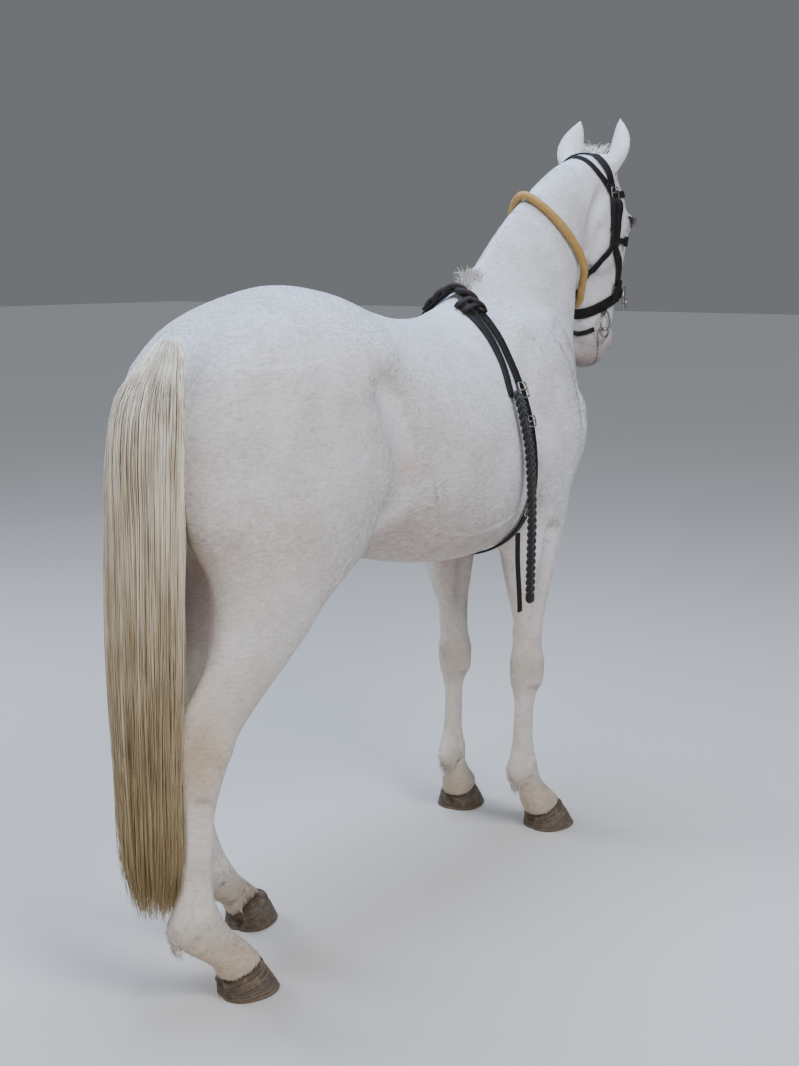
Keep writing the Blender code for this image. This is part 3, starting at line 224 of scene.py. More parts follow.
def horn_material(name):
    """Hoof horn: grey-brown, matt, with growth rings round it and fine tubules down it."""
    made, tree, shader = new_material(name, Roughness=.62, Specular_IOR_Level=.35)
    rings = noise(tree, (3, 26, 1), 3.0, uv="horn")
    tubes = noise(tree, (160, 5, 1), 3.0, uv="horn")
    dirt = noise(tree, (60, 60, 60), 6.0)
    colour = ramp(tree, rings, (.32, "#3a322c"), (.48, "#5a4e43"), (.66, "#786a5a"))
    fibre = ramp(tree, tubes, (.3, "#8d8072"), (.65, "#ffffff"))
    colour = mixed(tree, .5, colour, fibre, "MULTIPLY")
    low = ramp(tree, uv_parts(tree, "horn")[1], (0.0, (.75, .75, .75)), (.22, (0, 0, 0)))
    colour = mixed(tree, low, colour, "#786650")
    dusty = ramp(tree, dirt, (.48, (0, 0, 0)), (.7, (.6, .6, .6)))
    colour = mixed(tree, dusty, colour, "#86735a")
    painted(tree, shader, colour)
    bumped(tree, shader, (rings, .004, .5), (tubes, .0012, .4))
    return made

def eye_material(name):
    """A horse's eye: wet and very dark, with a brown iris round a wide pupil that lies level."""
    made, tree, shader = new_material(name, Roughness=.04, Coat_Weight=1.0, Coat_Roughness=.02)
    place = add(tree, "ShaderNodeMapping", {"Vector": add(tree, "ShaderNodeUVMap", uv_map="iris").outputs[0],
        "Scale": (1.0, 1.55, 1.0)}).outputs[0]
    away = add(tree, "ShaderNodeVectorMath", {0: place}, operation="LENGTH").outputs["Value"]
    colour = ramp(tree, away, (.3, "#07080b"), (.44, "#2c190d"), (.74, "#3a2213"), (.92, "#120b08"))
    painted(tree, shader, colour)
    return made

def rope_material(name):
    """Tightly plaited dark cord of matt fibre."""
    made, tree, shader = new_material(name, Roughness=.85, Sheen_Weight=.25)
    twist = noise(tree, (700, 700, 160), 5.0)
    painted(tree, shader, ramp(tree, twist, (.35, "#070505"), (.75, "#191310")))
    bumped(tree, shader, (twist, .0015, .7))
    return made

def plain_material(name, colour, roughness):
    return new_material(name, Base_Color=linear(colour), Roughness=roughness)[0]

MATERIALS = {
    "coat": coat_material("short white coat"),
    "tufts": coat_material("tufts of the coat", tufts=True),
    "tail": strand_material("tail hair", "#f4efdf", "#b29a5e", "#c9b78a"),
    "tail_core": strand_material("inner tail hair", "#f0e9d4", "#a68d58", "#dccdaa", .75),
    "wisps": strand_material("mane hair", "#edeae4", "#e2dccf", "#bdb6aa"),
    "lash": strand_material("lashes", "#2a2422", "#2a2422", "#1c1816"),
    "lid": plain_material("moist lid", "#2c2523", .25),
    "horn": horn_material("hoof horn"),
    "eye": eye_material("eye"),
    "leather": leather_material("bridle leather", "#0d0a09", "#1c1715", .62),
    "brown": leather_material("brown strap leather", "#130d0b", "#281c17", .64),
    "collar": leather_material("collar leather", "#a98549", "#c9a869", .52),
    "thread": plain_material("waxed thread", "#2b2521", .8),
    "steel": steel_material("worn steel"),
    "rope": rope_material("plaited cord"),
    "floor": plain_material("studio floor", "#cfccc6", .85),
}

# ---- the measures of the body, in metres: +X to the head, +Y to the left, +Z up, soles at zero
NECK_ROOT = (.42, 0.0, 1.2)
POLL = (1.03, 0.0, 1.85)  # the head hangs straight down from here
CORONET_HEIGHT = .058  # of the coronet over the ground, at the hoof's middle
CORONET_SLOPE = .4  # its rise from heel to toe
EYE_RADIUS = .021
STRAP_CLEARANCE = .002  # between a strap and the flesh under it
STANCE = {  # of each leg, from the ground up: height, x, y, and how far the toe turns out, in degrees
    "fore_right": [(0.0, .572, -.15, 14), (.2, .562, -.136, 10), (.47, .56, -.13, 5), (.85, .553, -.135, 0),
        (1.25, .553, -.135, 0)],
    "fore_left": [(0.0, .566, .138, 8), (.2, .57, .126, 6), (.47, .57, .124, 3), (.85, .555, .135, 0),
        (1.25, .553, .135, 0)],
    "hind_right": [(0.0, -.678, -.12, 20), (.2, -.662, -.118, 18), (.6, -.64, -.112, 14), (.9, -.625, -.13, 4),
        (1.35, -.625, -.13, 0)],
    "hind_left": [(0.0, -.408, .1, 12), (.2, -.44, .102, 12), (.6, -.56, .112, 10), (.9, -.61, .13, 4),
        (1.35, -.625, .13, 0)],
}

def loft_rings(*rows):
    """Girths. Each row is a girth's place along the part, lowest and highest point, half width, the share of its
    height where it is widest, and how square it is above and below that (2 is an ellipse, 1.5 is peaked). The
    last three may be left out."""
    rows = [(*row, *(.5, 2.0, 2.0)[len(row) - 4:]) for row in rows]
    return [(at, low, high, widest, half, above, below) for at, low, high, half, widest, above, below in rows]

TRUNK = loft_rings(  # at x, z up
    (-.775, 1.1, 1.3, .04), (-.7, 1.0, 1.39, .118), (-.58, .94, 1.468, .185, .52),
    (-.42, .93, 1.525, .226, .54, 2.1),  # croup
    (-.28, .905, 1.515, .24, .52, 2.2), (-.12, .868, 1.47, .262, .46, 2.1, 2.1),  # loin and flank
    (.06, .828, 1.44, .278, .43, 2.0, 2.2),  # belly
    (.22, .812, 1.448, .268, .4, 1.8, 2.2), (.34, .82, 1.492, .24, .37, 1.6, 2.2),  # girth
    (.43, .845, 1.522, .21, .36, 1.5, 2.1),  # withers
    (.54, .89, 1.48, .185, .38, 1.6), (.66, .98, 1.375, .16, .42, 1.9),
    (.75, 1.04, 1.27, .1, .45),  # breast
)
NECK = loft_rings(  # along the neck from its root, at 45 degrees
    (.06, -.34, .222, .18, .42, 1.5), (.2, -.31, .248, .162, .42, 1.45),
    (.33, -.245, .251, .132, .42, 1.45), (.46, -.17, .236, .106, .42, 1.5),
    (.58, -.112, .208, .088, .44, 1.6), (.7, -.085, .172, .08, .48, 1.8),
    (.8, -.075, .132, .072, .5, 1.9), (.88, -.07, .085, .055),
)
HEAD = loft_rings(  # down from the poll, from the jaw's side to the face's
    (-.02, -.06, .045, .055), (.05, -.085, .09, .08, .5, 2.2),
    (.11, -.115, .122, .09, .58, 2.4), (.17, -.135, .14, .092, .64, 2.4, 1.9),  # eyes
    (.24, -.14, .141, .082, .64, 2.3, 1.8), (.31, -.115, .136, .07, .62, 2.2, 1.8),
    (.38, -.078, .122, .058, .58, 2.2, 1.9), (.45, -.057, .106, .052, .52, 2.2),
    (.51, -.058, .074, .05, .5, 2.2, 2.1), (.555, -.06, .038, .042, .5, 2.1, 2.1),
    (.585, -.05, .01, .028),
)
FORELEG = loft_rings(  # up from the ground, from the leg's back to its front
    (.04, -.058, .052, .046, .5, 2.2, 2.2), (.085, -.074, .044, .044, .5, 2.2, 2.2),
    (.12, -.088, .012, .034, .5, 2.1, 2.1), (.155, -.112, -.014, .034, .55),  # pastern
    (.195, -.12, -.022, .036, .55),  # fetlock
    (.24, -.108, -.034, .03, .55), (.32, -.1, -.036, .0245, .6, 2.1, 2.1),  # cannon
    (.39, -.101, -.029, .028, .6, 2.1, 2.1), (.44, -.112, -.01, .04, .6, 2.4, 2.1),
    (.49, -.112, -.006, .044, .58, 2.4, 2.1),  # knee
    (.54, -.102, -.014, .04, .55, 2.1), (.62, -.112, -.006, .046, .5, 2.0, 2.0),
    (.72, -.14, .02, .058, .5, 2.0, 2.0),  # forearm
    (.82, -.17, .052, .07), (.92, -.19, .095, .074),  # elbow
    (1.04, -.17, .12, .07), (1.13, -.12, .1, .05), (1.2, -.06, .06, .02),
)
HIND_LEG = loft_rings(
    (.04, -.058, .05, .044, .5, 2.2, 2.2), (.08, -.078, .04, .042, .5, 2.2, 2.2),
    (.11, -.118, .012, .034, .5, 2.1, 2.1), (.145, -.162, -.024, .035, .55),  # pastern
    (.19, -.182, -.056, .038, .55),  # fetlock
    (.24, -.17, -.076, .032, .55), (.33, -.158, -.08, .027, .6, 2.1, 2.1),  # cannon
    (.42, -.16, -.076, .03, .6, 2.1, 2.1), (.49, -.172, -.06, .04, .6, 2.2, 1.9),
    (.545, -.19, -.04, .046, .62, 2.2, 1.8),  # hock
    (.6, -.198, -.014, .045, .62, 2.2, 1.7), (.65, -.17, .028, .046, .58, 2.1, 1.7),
    (.71, -.132, .084, .054, .55, 2.0, 1.8), (.79, -.106, .156, .072, .52),  # gaskin
    (.87, -.104, .212, .09, .52), (.96, -.12, .254, .104, .52),  # stifle
    (1.06, -.14, .282, .108), (1.15, -.12, .27, .09), (1.23, -.06, .2, .055),
    (1.29, .02, .12, .02),
)
TAIL = loft_rings(  # up from the hair's end, from back to front
    (.185, -.855, -.8, .03), (.26, -.872, -.79, .06), (.5, -.88, -.778, .08),
    (.8, -.882, -.765, .092), (1.05, -.875, -.74, .094), (1.22, -.872, -.69, .088),
    (1.33, -.843, -.66, .072), (1.4, -.775, -.66, .04), (1.425, -.74, -.68, .02),
)
TAIL_FOOT = -.02  # how far to the left the tail's line meets the ground
TAIL_LEAN = .02  # and how far it leans left in a metre up

# ---- smooth solids as signed distances: negative inside
def along(rings, at):
    """The measures of the rings at each place, on a smooth curve through them."""
    rings = np.array(rings, float)
    knots, values = rings[:, 0], rings[:, 1:]
    slopes = np.gradient(values, knots, axis=0)
    at = np.clip(at, knots[0], knots[-1])
    i = np.clip(np.searchsorted(knots, at) - 1, 0, len(knots) - 2)
    span = knots[i + 1] - knots[i]
    t = ((at - knots[i]) / span)[:, None]
    span = span[:, None]
    return ((2 * t**3 - 3 * t**2 + 1) * values[i] + (t**3 - 2 * t**2 + t) * span * slopes[i]
        + (3 * t**2 - 2 * t**3) * values[i + 1] + (t**3 - t**2) * span * slopes[i + 1])

def melt_min(a, b, melt):
    step = np.maximum(melt - np.abs(a - b), 0) / melt
    return np.minimum(a, b) - step * step * melt / 4

def melt_max(a, b, melt):
    return -melt_min(-a, -b, melt)

def melted(total, away, mass):
    """The distances with one more mass added, or cut away."""
    return melt_min(total, away, mass.melt) if mass.adds else melt_max(total, -away, mass.melt)

def turned(degrees, axis):
    return np.array(Matrix.Rotation(radians(degrees), 3, axis))

def folded(points):
    """The points, with those of the right side moved to the left."""
    return np.stack([points[:, 0], np.abs(points[:, 1]), points[:, 2]], 1)

def box_round(places, reach):
    """A box that holds all within reach of the places, on both sides of the horse."""
    low, high = np.min(places, 0) - reach, np.max(places, 0) + reach
    far = max(abs(low[1]), abs(high[1]))
    return (low[0], -far, low[2]), (high[0], far, high[2])

def from_run(points, start, end):
    """How far the points are from a straight run, and the share of the run at which each is nearest."""
    run = end - start
    t = np.clip((points - start) @ run / (run @ run), 0, 1)
    return np.linalg.norm(points - start - t[:, None] * run, axis=1), t

class Limb:
    """A solid through rings of measures, along an axis from an origin; up is where a ring is highest."""

    def __init__(self, origin, axis, up, rings, melt, box, bend=None):
        self.origin = np.array(origin, float)
        self.axis = np.array(axis, float) / np.linalg.norm(axis)
        up = np.array(up, float) - self.axis * np.dot(up, self.axis)
        self.up = up / np.linalg.norm(up)
        self.side = np.cross(self.up, self.axis)
        self.rings, self.melt, self.box, self.bend, self.adds = rings, melt, box, bend, True

    def distance(self, points):
        local = points - self.origin
        if self.bend:
            local = self.bend(local)
        at, across, high = local @ self.axis, local @ self.side, local @ self.up
        low, top, widest, half, above, below = along(self.rings, at).T
        middle = low + (top - low) * widest
        high = high - middle
        reach = np.where(high > 0, top - middle, middle - low)
        power = np.where(high > 0, above, below)
        share = ((np.abs(across) / half) ** power + (np.abs(high) / reach) ** power) ** (1 / power)
        radial = np.hypot(across, high) * (1 - 1 / np.maximum(share, 1e-3))
        radial = np.maximum(radial, -np.minimum(half, reach))
        ends = np.maximum(at - self.rings[-1][0], self.rings[0][0] - at)
        return melt_max(radial, ends, .02)

class Egg:
    """An ellipsoid, on both sides of the horse where its centre is off the middle."""

    def __init__(self, centre, radii, melt, tilt=0, yaw=0, adds=True):
        self.centre, self.radii, self.melt, self.adds = np.array(centre), np.array(radii), melt, adds
        self.turn = turned(yaw, "Z") @ turned(tilt, "Y")
        self.box = box_round([self.centre], np.abs(self.turn) @ self.radii + melt + .01)

    def distance(self, points):
        local = (folded(points) - self.centre) @ self.turn
        one = np.linalg.norm(local / self.radii, axis=1)
        two = np.maximum(np.linalg.norm(local / self.radii**2, axis=1), 1e-9)
        return one * (one - 1) / two

class Rod:
    """A rod with round ends, on both sides of the horse."""

    def __init__(self, start, end, radius, melt, adds=True):
        self.start, self.end, self.radius = np.array(start), np.array(end), radius
        self.melt, self.adds = melt, adds
        self.box = box_round([start, end], radius + melt + .01)

    def distance(self, points):
        return from_run(folded(points), self.start, self.end)[0] - self.radius

def leg(rings, stance, side, melt):
    def to_plumb(points):
        """Straightens the leg: each point as it would lie round a plumb line with the toe to the front."""
        x, y, angle = along(stance, points[:, 2]).T
        angle = np.radians(angle) * side
        x, y = points[:, 0] - x, points[:, 1] - y
        return np.stack([x * np.cos(angle) + y * np.sin(angle), (y * np.cos(angle) - x * np.sin(angle)) * side,
            points[:, 2]], 1)

    xs, ys = [row[1] for row in stance], [row[2] for row in stance]
    box = ((min(xs) - .34, min(ys) - .2, rings[0][0] - .03), (max(xs) + .42, max(ys) + .2, rings[-1][0] + .08))
    return Limb((0, 0, 0), (0, 0, 1), (1, 0, 0), rings, melt, box, to_plumb)

def on_head(down, forward, side=0.0):
    """A place on the head: down from the poll, forward of it, and out to the right side."""
    return (POLL[0] + forward, side, POLL[2] - down)

def on_heads(*places):
    return [on_head(*place) for place in places]

def flesh_masses():
    masses = [Limb((0, 0, 0), (1, 0, 0), (0, 0, 1), TRUNK, .02, ((-.86, -.34, .74), (.84, .34, 1.62))),
        Limb(NECK_ROOT, (1, 0, 1), (-1, 0, 1), NECK, .075, ((.3, -.25, .95), (1.14, .25, 1.95)))]
    for name, stance in STANCE.items():
        side = 1 if "left" in name else -1
        masses.append(leg(FORELEG, stance, side, .07) if "fore" in name else leg(HIND_LEG, stance, side, .08))
    masses += [
        Egg((-.31, .185, 1.36), (.07, .04, .045), .09),  # point of the hip
        Egg((-.5, .095, 1.3), (.22, .112, .165), .08),  # rump
        Egg((-.685, .095, 1.16), (.095, .075, .19), .07, tilt=6),  # point of the buttock
        Egg((-.41, .15, 1.06), (.17, .088, .19), .07, tilt=25),  # thigh
        Egg((.51, .12, 1.24), (.085, .062, .2), .1, tilt=-28),  # shoulder blade
        Egg((.6, .095, 1.28), (.085, .06, .13), .09, tilt=-28),  # neck's root over the shoulder
        Egg((.45, .135, 1.04), (.13, .07, .12), .07, tilt=20),  # upper arm
        Egg((.662, .105, 1.125), (.085, .074, .105), .09),  # point of the shoulder
        Egg((.672, .055, 1.08), (.084, .062, .1), .07),  # breast muscle
        Limb(POLL, (0, 0, -1), (1, 0, 0), HEAD, .035, ((.8, -.16, 1.2), (1.24, .16, 1.92))),
        Egg(on_head(.2, -.045, .06), (.085, .034, .105), .03),  # cheek
        Egg(on_head(.156, .083, .07), (.036, .022, .032), .02),  # brow over the eye
        Rod(on_head(.205, .035, .08), on_head(.33, .045, .06), .008, .02),  # facial crest
        Egg(on_head(.505, .046, .036), (.027, .02, .036), .02, tilt=12),  # nostril
        Egg(on_head(.55, .012, 0.0), (.036, .038, .026), .02, tilt=25),  # upper lip
        Egg(on_head(.548, -.042, 0.0), (.032, .03, .03), .015),  # chin
        Egg(on_head(.005, -.005, .055), (.032, .03, .04), .03),  # root of the ear
    ]
    return masses

def field(masses, axes):
    """The melted distance of all the masses at the corners of a grid."""
    total = np.ones([len(axis) for axis in axes])
    for mass in masses:
        spans = [slice(*np.searchsorted(axis, ends)) for axis, ends in zip(axes, zip(*mass.box))]
        block = [axis[span] for axis, span in zip(axes, spans)]
        if min(len(axis) for axis in block) == 0:
            continue
        corners = np.stack(np.meshgrid(*block, indexing="ij"), -1).reshape(-1, 3)
        near = mass.distance(corners).reshape([len(axis) for axis in block])
        total[tuple(spans)] = melted(total[tuple(spans)], near, mass)
    return total

def net(axes, values):
    """Points and four-sided faces of the surface where the values turn negative: a point in each cell crossed, at
    the mean of its crossings."""
    inside = values < 0
    sizes = [len(axis) - 1 for axis in axes]
    corners = [(i, j, k) for i in (0, 1) for j in (0, 1) for k in (0, 1)]
    filled = sum(inside[i:sizes[0] + i, j:sizes[1] + j, k:sizes[2] + k].astype(int) for i, j, k in corners)
    crossed = (filled > 0) & (filled < 8)
    cells = np.argwhere(crossed)
    number = np.full(crossed.shape, -1)
    number[crossed] = np.arange(len(cells))
    total, count = np.zeros((len(cells), 3)), np.zeros(len(cells))
    for corner in corners:
        for direction in range(3):
            if corner[direction]:
                continue
            other = np.array(corner)
            other[direction] = 1
            first, second = cells + corner, cells + other
            a, b = values[tuple(first.T)], values[tuple(second.T)]
            cut = (a < 0) != (b < 0)
            t = np.where(cut, a / np.where(a == b, 1, a - b), 0)[:, None]
            start = np.stack([axes[n][first[:, n]] for n in range(3)], 1)
            end = np.stack([axes[n][second[:, n]] for n in range(3)], 1)
            total += np.where(cut[:, None], start + t * (end - start), 0)
            count += cut
    faces = []
    for direction in range(3):
        others = np.roll(np.arange(3), -direction)[1:]
        low, high = [slice(1, -1)] * 3, [slice(1, -1)] * 3
        low[direction], high[direction] = slice(0, -1), slice(1, None)
        shift = np.ones(3, int)
        shift[direction] = 0
        edges = np.argwhere(inside[tuple(low)] != inside[tuple(high)]) + shift
        step = np.eye(3, dtype=int)[others]
        round_edge = [edges - step[0] - step[1], edges - step[1], edges, edges - step[0]]
        quads = np.stack([number[tuple(cell.T)] for cell in round_edge], 1)
        inward = inside[tuple(edges.T)]
        quads[~inward] = quads[~inward][:, ::-1]
        faces.append(quads)
    return total / count[:, None], np.concatenate(faces)

# ---- what the skin adds to the solids: folds, veins, tendons, lids, nostrils and the mouth
def measure(points, masses):
    """The melted distance of all the masses at some points."""
    total = np.ones(len(points))
    for mass in masses:
        low, high = mass.box
        near = np.all((points > low) & (points < high), axis=1)
        if near.any():
            total[near] = melted(total[near], mass.distance(points[near]), mass)
    return total

def slope(points, masses, step=.0006):
    here = measure(points, masses)
    rise = np.stack([(measure(points + step * axis, masses) - here) / step for axis in np.eye(3)], 1)
    return here, rise

def pulled(points, masses, level, steps=2):
    """The points, each moved along the slope onto the surface where the distance is level."""
    for _ in range(steps):
        here, rise = slope(points, masses)
        move = ((here - level) / np.maximum((rise**2).sum(1), .05))[:, None] * rise
        long = np.linalg.norm(move, axis=1, keepdims=True)
        points = points - move * np.minimum(1, .006 / np.maximum(long, 1e-9))
    return points

def lengths_along(points):
    return np.cumsum([0.0] + [(b - a).length for a, b in zip(points, points[1:])])

def smooth_line(points, spacing):
    """Points along a smooth curve through the given ones."""
    lengths = lengths_along([Vector(point) for point in points])
    table = [(place, *point) for place, point in zip(lengths, points)]
    count = max(2, round(lengths[-1] / spacing) + 1)
    return [Vector(point) for point in along(table, np.linspace(0, lengths[-1], count))]

class Line:
    """A round cord of flesh, or a groove, that follows a route on the flesh on both sides, sunk by depth."""

    def __init__(self, flesh, route, radius, melt, depth, adds=True):
        route = np.array(smooth_line(route, .02))
        route = pulled(route, flesh, 0.0, 6)
        _, rise = slope(route, flesh)
        self.route = route - rise / np.linalg.norm(rise, axis=1, keepdims=True) * depth
        self.radius, self.melt, self.adds = radius, melt, adds
        self.box = box_round(self.route, radius + melt + .01)

    def distance(self, points):
        points, least = folded(points), np.full(len(points), 9.0)
        radii = self.radius * np.sin(np.linspace(.35, pi - .35, len(self.route)))
        for n, (start, end) in enumerate(zip(self.route, self.route[1:])):
            away, t = from_run(points, start, end)
            least = np.minimum(least, away - radii[n] * (1 - t) - radii[n + 1] * t)
        return least

class OnLeg:
    """A mass given in a leg's own frame: x to its toe, y out from it, z up its plumb line."""

    def __init__(self, limb, mass):
        self.mass, self.to_plumb, self.melt, self.adds = mass, limb.bend, mass.melt, mass.adds
        low, high = limb.box
        self.box = ((low[0], low[1], mass.box[0][2]), (high[0], high[1], mass.box[1][2]))

    def distance(self, points):
        return self.mass.distance(self.to_plumb(points))

class Below:
    """All that is under the slanted plane of the coronet, in a leg's own frame."""

    melt, adds = .005, False
    box = ((0, 0, -.02), (0, 0, .13))

    def distance(self, points):
        return (points[:, 2] - CORONET_HEIGHT - CORONET_SLOPE * points[:, 0] + .001) / hypot(1, CORONET_SLOPE)

EYE = on_head(.162, .078, .08)
EYE_OUT = np.array((.26, .955, .14))  # where the left eye looks
EYE_LONG = np.array((-.62, .26, .74))  # from its front corner up to its back one
LID_THICKNESS = .0035
LID_REACH = EYE_RADIUS + .0012  # of the lids' edges from the middle of the eye
SLIT = (.0205, .0125)  # half length and half height of the opening between the lids

def eye_frame(flip=1):
    """The middle of an eye, the way it looks, and the slit's long and short directions; flip is 1 on the left."""
    out = EYE_OUT / np.linalg.norm(EYE_OUT)
    long = EYE_LONG - out * (EYE_LONG @ out)
    long /= np.linalg.norm(long)
    return [np.array(axis) * (1, flip, 1) for axis in (EYE, out, long, np.cross(out, long))]

def on_neck(s, high, side=0.0):
    """A place on the neck: s along its axis, high towards the crest, and out to the side."""
    return (NECK_ROOT[0] + (s - high) * sqrt(.5), side, NECK_ROOT[2] + (s + high) * sqrt(.5))

FURROWS = [  # route, radius, melt, depth
    ([on_neck(.24, -.19, .15), on_neck(.45, -.1, .1), on_neck(.7, -.045, .075)], .012, .05, -.003),
    ([(.6, .17, 1.4), (.655, .16, 1.27), (.66, .17, 1.16)], .012, .05, -.002),
    ([(.41, .22, 1.38), (.375, .25, 1.22), (.35, .24, 1.04), (.4, .2, .94)], .01, .045, -.001),
    ([(-.29, .22, 1.31), (-.225, .24, 1.2), (-.205, .24, 1.08), (-.24, .22, .98)], .016, .07, .001),
    (on_heads((.075, -.07, .085), (.13, -.112, .09), (.19, -.135, .08), (.23, -.14, .065)), .012, .03, -.004),
    (on_heads((.098, .045, .088), (.118, .068, .086), (.13, .092, .075)), .01, .022, -.004),
]
CREASES = [
    ([(-.215, .24, 1.1), (-.245, .23, 1.02), (-.3, .21, .95)], .0035, .012, -.0012),
    ([(.365, .22, 1.0), (.385, .2, .955), (.43, .17, .93)], .003, .012, -.001),
    (on_heads((.128, .112, .07), (.132, .09, .088), (.146, .068, .094)), .0016, .006, -.0006),
    (on_heads((.196, .095, .078), (.196, .078, .088), (.186, .062, .092)), .0014, .006, -.0005),
]
VEINS = [
    ([(.27, .24, .96), (.2, .25, .925), (.1, .25, .9), (0.0, .24, .905), (-.07, .23, .93)], .0036, .01, .0026),
    ([(-.4, .21, 1.0), (-.43, .21, .93), (-.47, .21, .87)], .0034, .01, .0024),
    ([(-.08, .25, 1.09), (-.12, .25, 1.06), (-.1, .25, 1.03), (-.15, .24, 1.0)], .003, .009, .002),
    (on_heads((.265, -.035, .085), (.3, .01, .075), (.355, .03, .06), (.41, .045, .055)), .0034, .007, .0018),
    (on_heads((.32, .02, .07), (.345, .055, .065), (.335, .085, .055)), .0028, .007, .0014),
]
NOSTRIL = on_head(.503, .062, .046)

def skin_details(flesh):
    """What the skin has that the solids are too coarse for, to go after the masses of the flesh."""
    found = [Egg(EYE, [EYE_RADIUS + LID_THICKNESS] * 3, .012)]
    found += [Line(flesh, *measures, adds=False) for measures in FURROWS + CREASES]
    found += [Line(flesh, *measures) for measures in VEINS]
    found += [
        Rod(on_head(.176, .036, .086), on_head(.118, -.008, .086), .009, .02),  # cheek bone
        Egg(on_head(.5, .044, .05), (.02, .01, .026), .012, tilt=10),  # wing of the nostril
        Egg(on_head(.545, .002, .034), (.02, .012, .022), .015),  # edge of the upper lip
        Egg(on_head(.56, -.036, 0.0), (.016, .024, .016), .012),  # lower lip
    ]
    for limb in flesh:
        if not getattr(limb, "bend", None):
            continue
        if limb.rings is FORELEG:
            low, high, back = .215, .42, -.078
            more = [Rod((-.062, .027, .5), (-.05, .03, .44), .014, .02),  # bones of the knee
                    Rod((-.012, 0.0, .515), (-.014, 0.0, .445), .012, .02),
                    Egg((-.118, 0.0, .505), (.012, .014, .022), .02),
                    Rod((-.055, .058, .86), (-.07, .046, .62), .01, .05, adds=False)]
        else:
            low, high, back = .215, .46, -.132
            more = [Egg((-.195, 0.0, .64), (.014, .016, .03), .02),  # point of the hock
                    Rod((-.16, .03, .72), (-.178, .022, .63), .012, .02, adds=False),
                    Egg((-.08, .04, .57), (.022, .012, .03), .02)]
        more += [Rod((back, .029, low), (back + .004, .026, high), .005, .014, adds=False),  # before the tendon
                 Rod((back + .022, .031, low + .01), (back + .024, .027, high), .004, .012, adds=False),
                 Egg((back - .036, 0.0, .175), (.014, .016, .02), .02),  # ergot
                 Rod((back - .01, .024, .09), (back + .004, .022, .16), .005, .016, adds=False)]
        found += [OnLeg(limb, mass) for mass in more]
        found.append(OnLeg(limb, Below()))
    return found

# ---- meshes
def circle(count):
    """Angles that lie evenly round a circle."""
    return np.arange(count) * 2 * pi / count

def read(items, key, width, kind=np.float32):
    """One value of every item of a mesh, as rows of a width."""
    values = np.empty(len(items) * width, kind)
    items.foreach_get(key, values)
    return values.reshape(-1, width)

def mark(mesh, marks):
    """Writes values of the points into the mesh, as colours where they have three parts."""
    for key, values in marks.items():
        values = np.asarray(values, np.float32)
        kind, part = ("FLOAT_COLOR", "color") if values.ndim == 2 else ("FLOAT", "value")
        if values.ndim == 2:
            values = np.hstack([values, np.ones((len(values), 1), np.float32)])
        mesh.attributes.new(key, kind, "POINT").data.foreach_set(part, values.ravel())

def put(name, points, faces, finish, maps=None, marks=None):
    """An object in the row frame. maps are UV maps with a place for each point, and marks are attributes."""
    mesh = bpy.data.meshes.new(name)
    if not isinstance(points, np.ndarray):
        points = np.array([tuple(point) for point in points])
    mesh.from_pydata((points - SHIFT).tolist(), [], [tuple(map(int, face)) for face in faces])
    mesh.shade_smooth()
    mesh.materials.append(finish)
    order = read(mesh.loops, "vertex_index", 1, np.int32)[:, 0]
    for key, places in (maps or {}).items():
        mesh.uv_layers.new(name=key).data.foreach_set("uv", np.asarray(places, np.float32)[order].ravel())
    mark(mesh, marks or {})
    return placed(name, mesh)

def applied(thing, other):
    """Makes what a modifier does to the object real, and throws the modifier's other object away."""
    made = bpy.data.meshes.new_from_object(thing.evaluated_get(bpy.context.evaluated_depsgraph_get()))
    thing.modifiers.clear()
    thing.data = made
    bpy.data.objects.remove(other)

def outwards(thing):
    mesh = bmesh.new()
    mesh.from_mesh(thing.data)
    bmesh.ops.recalc_face_normals(mesh, faces=mesh.faces)
    if mesh.calc_volume(signed=True) < 0:
        bmesh.ops.reverse_faces(mesh, faces=mesh.faces)
    mesh.to_mesh(thing.data)
    mesh.free()
    return thing

def skinned(rings, closed=False):
    """Points and faces of rings of equal count joined in a row, with the ends closed, or joined round."""
    count, total = len(rings[0]), len(rings)
    points = [point for loop in rings for point in loop]
    faces = [] if closed else [tuple(range(count))[::-1]]
    for n in range(total if closed else total - 1):
        after = (n + 1) % total
        for k in range(count):
            b = (k + 1) % count
            faces.append((n * count + k, n * count + b, after * count + b, after * count + k))
    if not closed:
        faces.append(tuple(range((total - 1) * count, total * count)))
    return points, faces

def together(parts):
    """Several (points, faces) as one."""
    points, faces = [], []
    for more, their in parts:
        faces += [[n + len(points) for n in face] for face in their]
        points += list(more)
    return points, faces

def run_at(line, n, closed=False):
    """From the point before the nth to the one after it."""
    if closed:
        return line[(n + 1) % len(line)] - line[n - 1]
    return line[min(n + 1, len(line) - 1)] - line[max(n - 1, 0)]

def tube(route, radius, closed=False, sides=10):
    """Points and faces of a round bar along a route."""
    rings, side, route = [], None, [Vector(point) for point in route]
    for n, middle in enumerate(route):
        run = run_at(route, n, closed).normalized()
        if side is None:
            side = run.orthogonal()
        side = (side - run * side.dot(run)).normalized()
        up = run.cross(side)
        size = radius[n] if isinstance(radius, (list, tuple, np.ndarray)) else radius
        rings.append([middle + (side * cos(a) + up * sin(a)) * size for a in circle(sides)])
    return skinned(rings, closed)

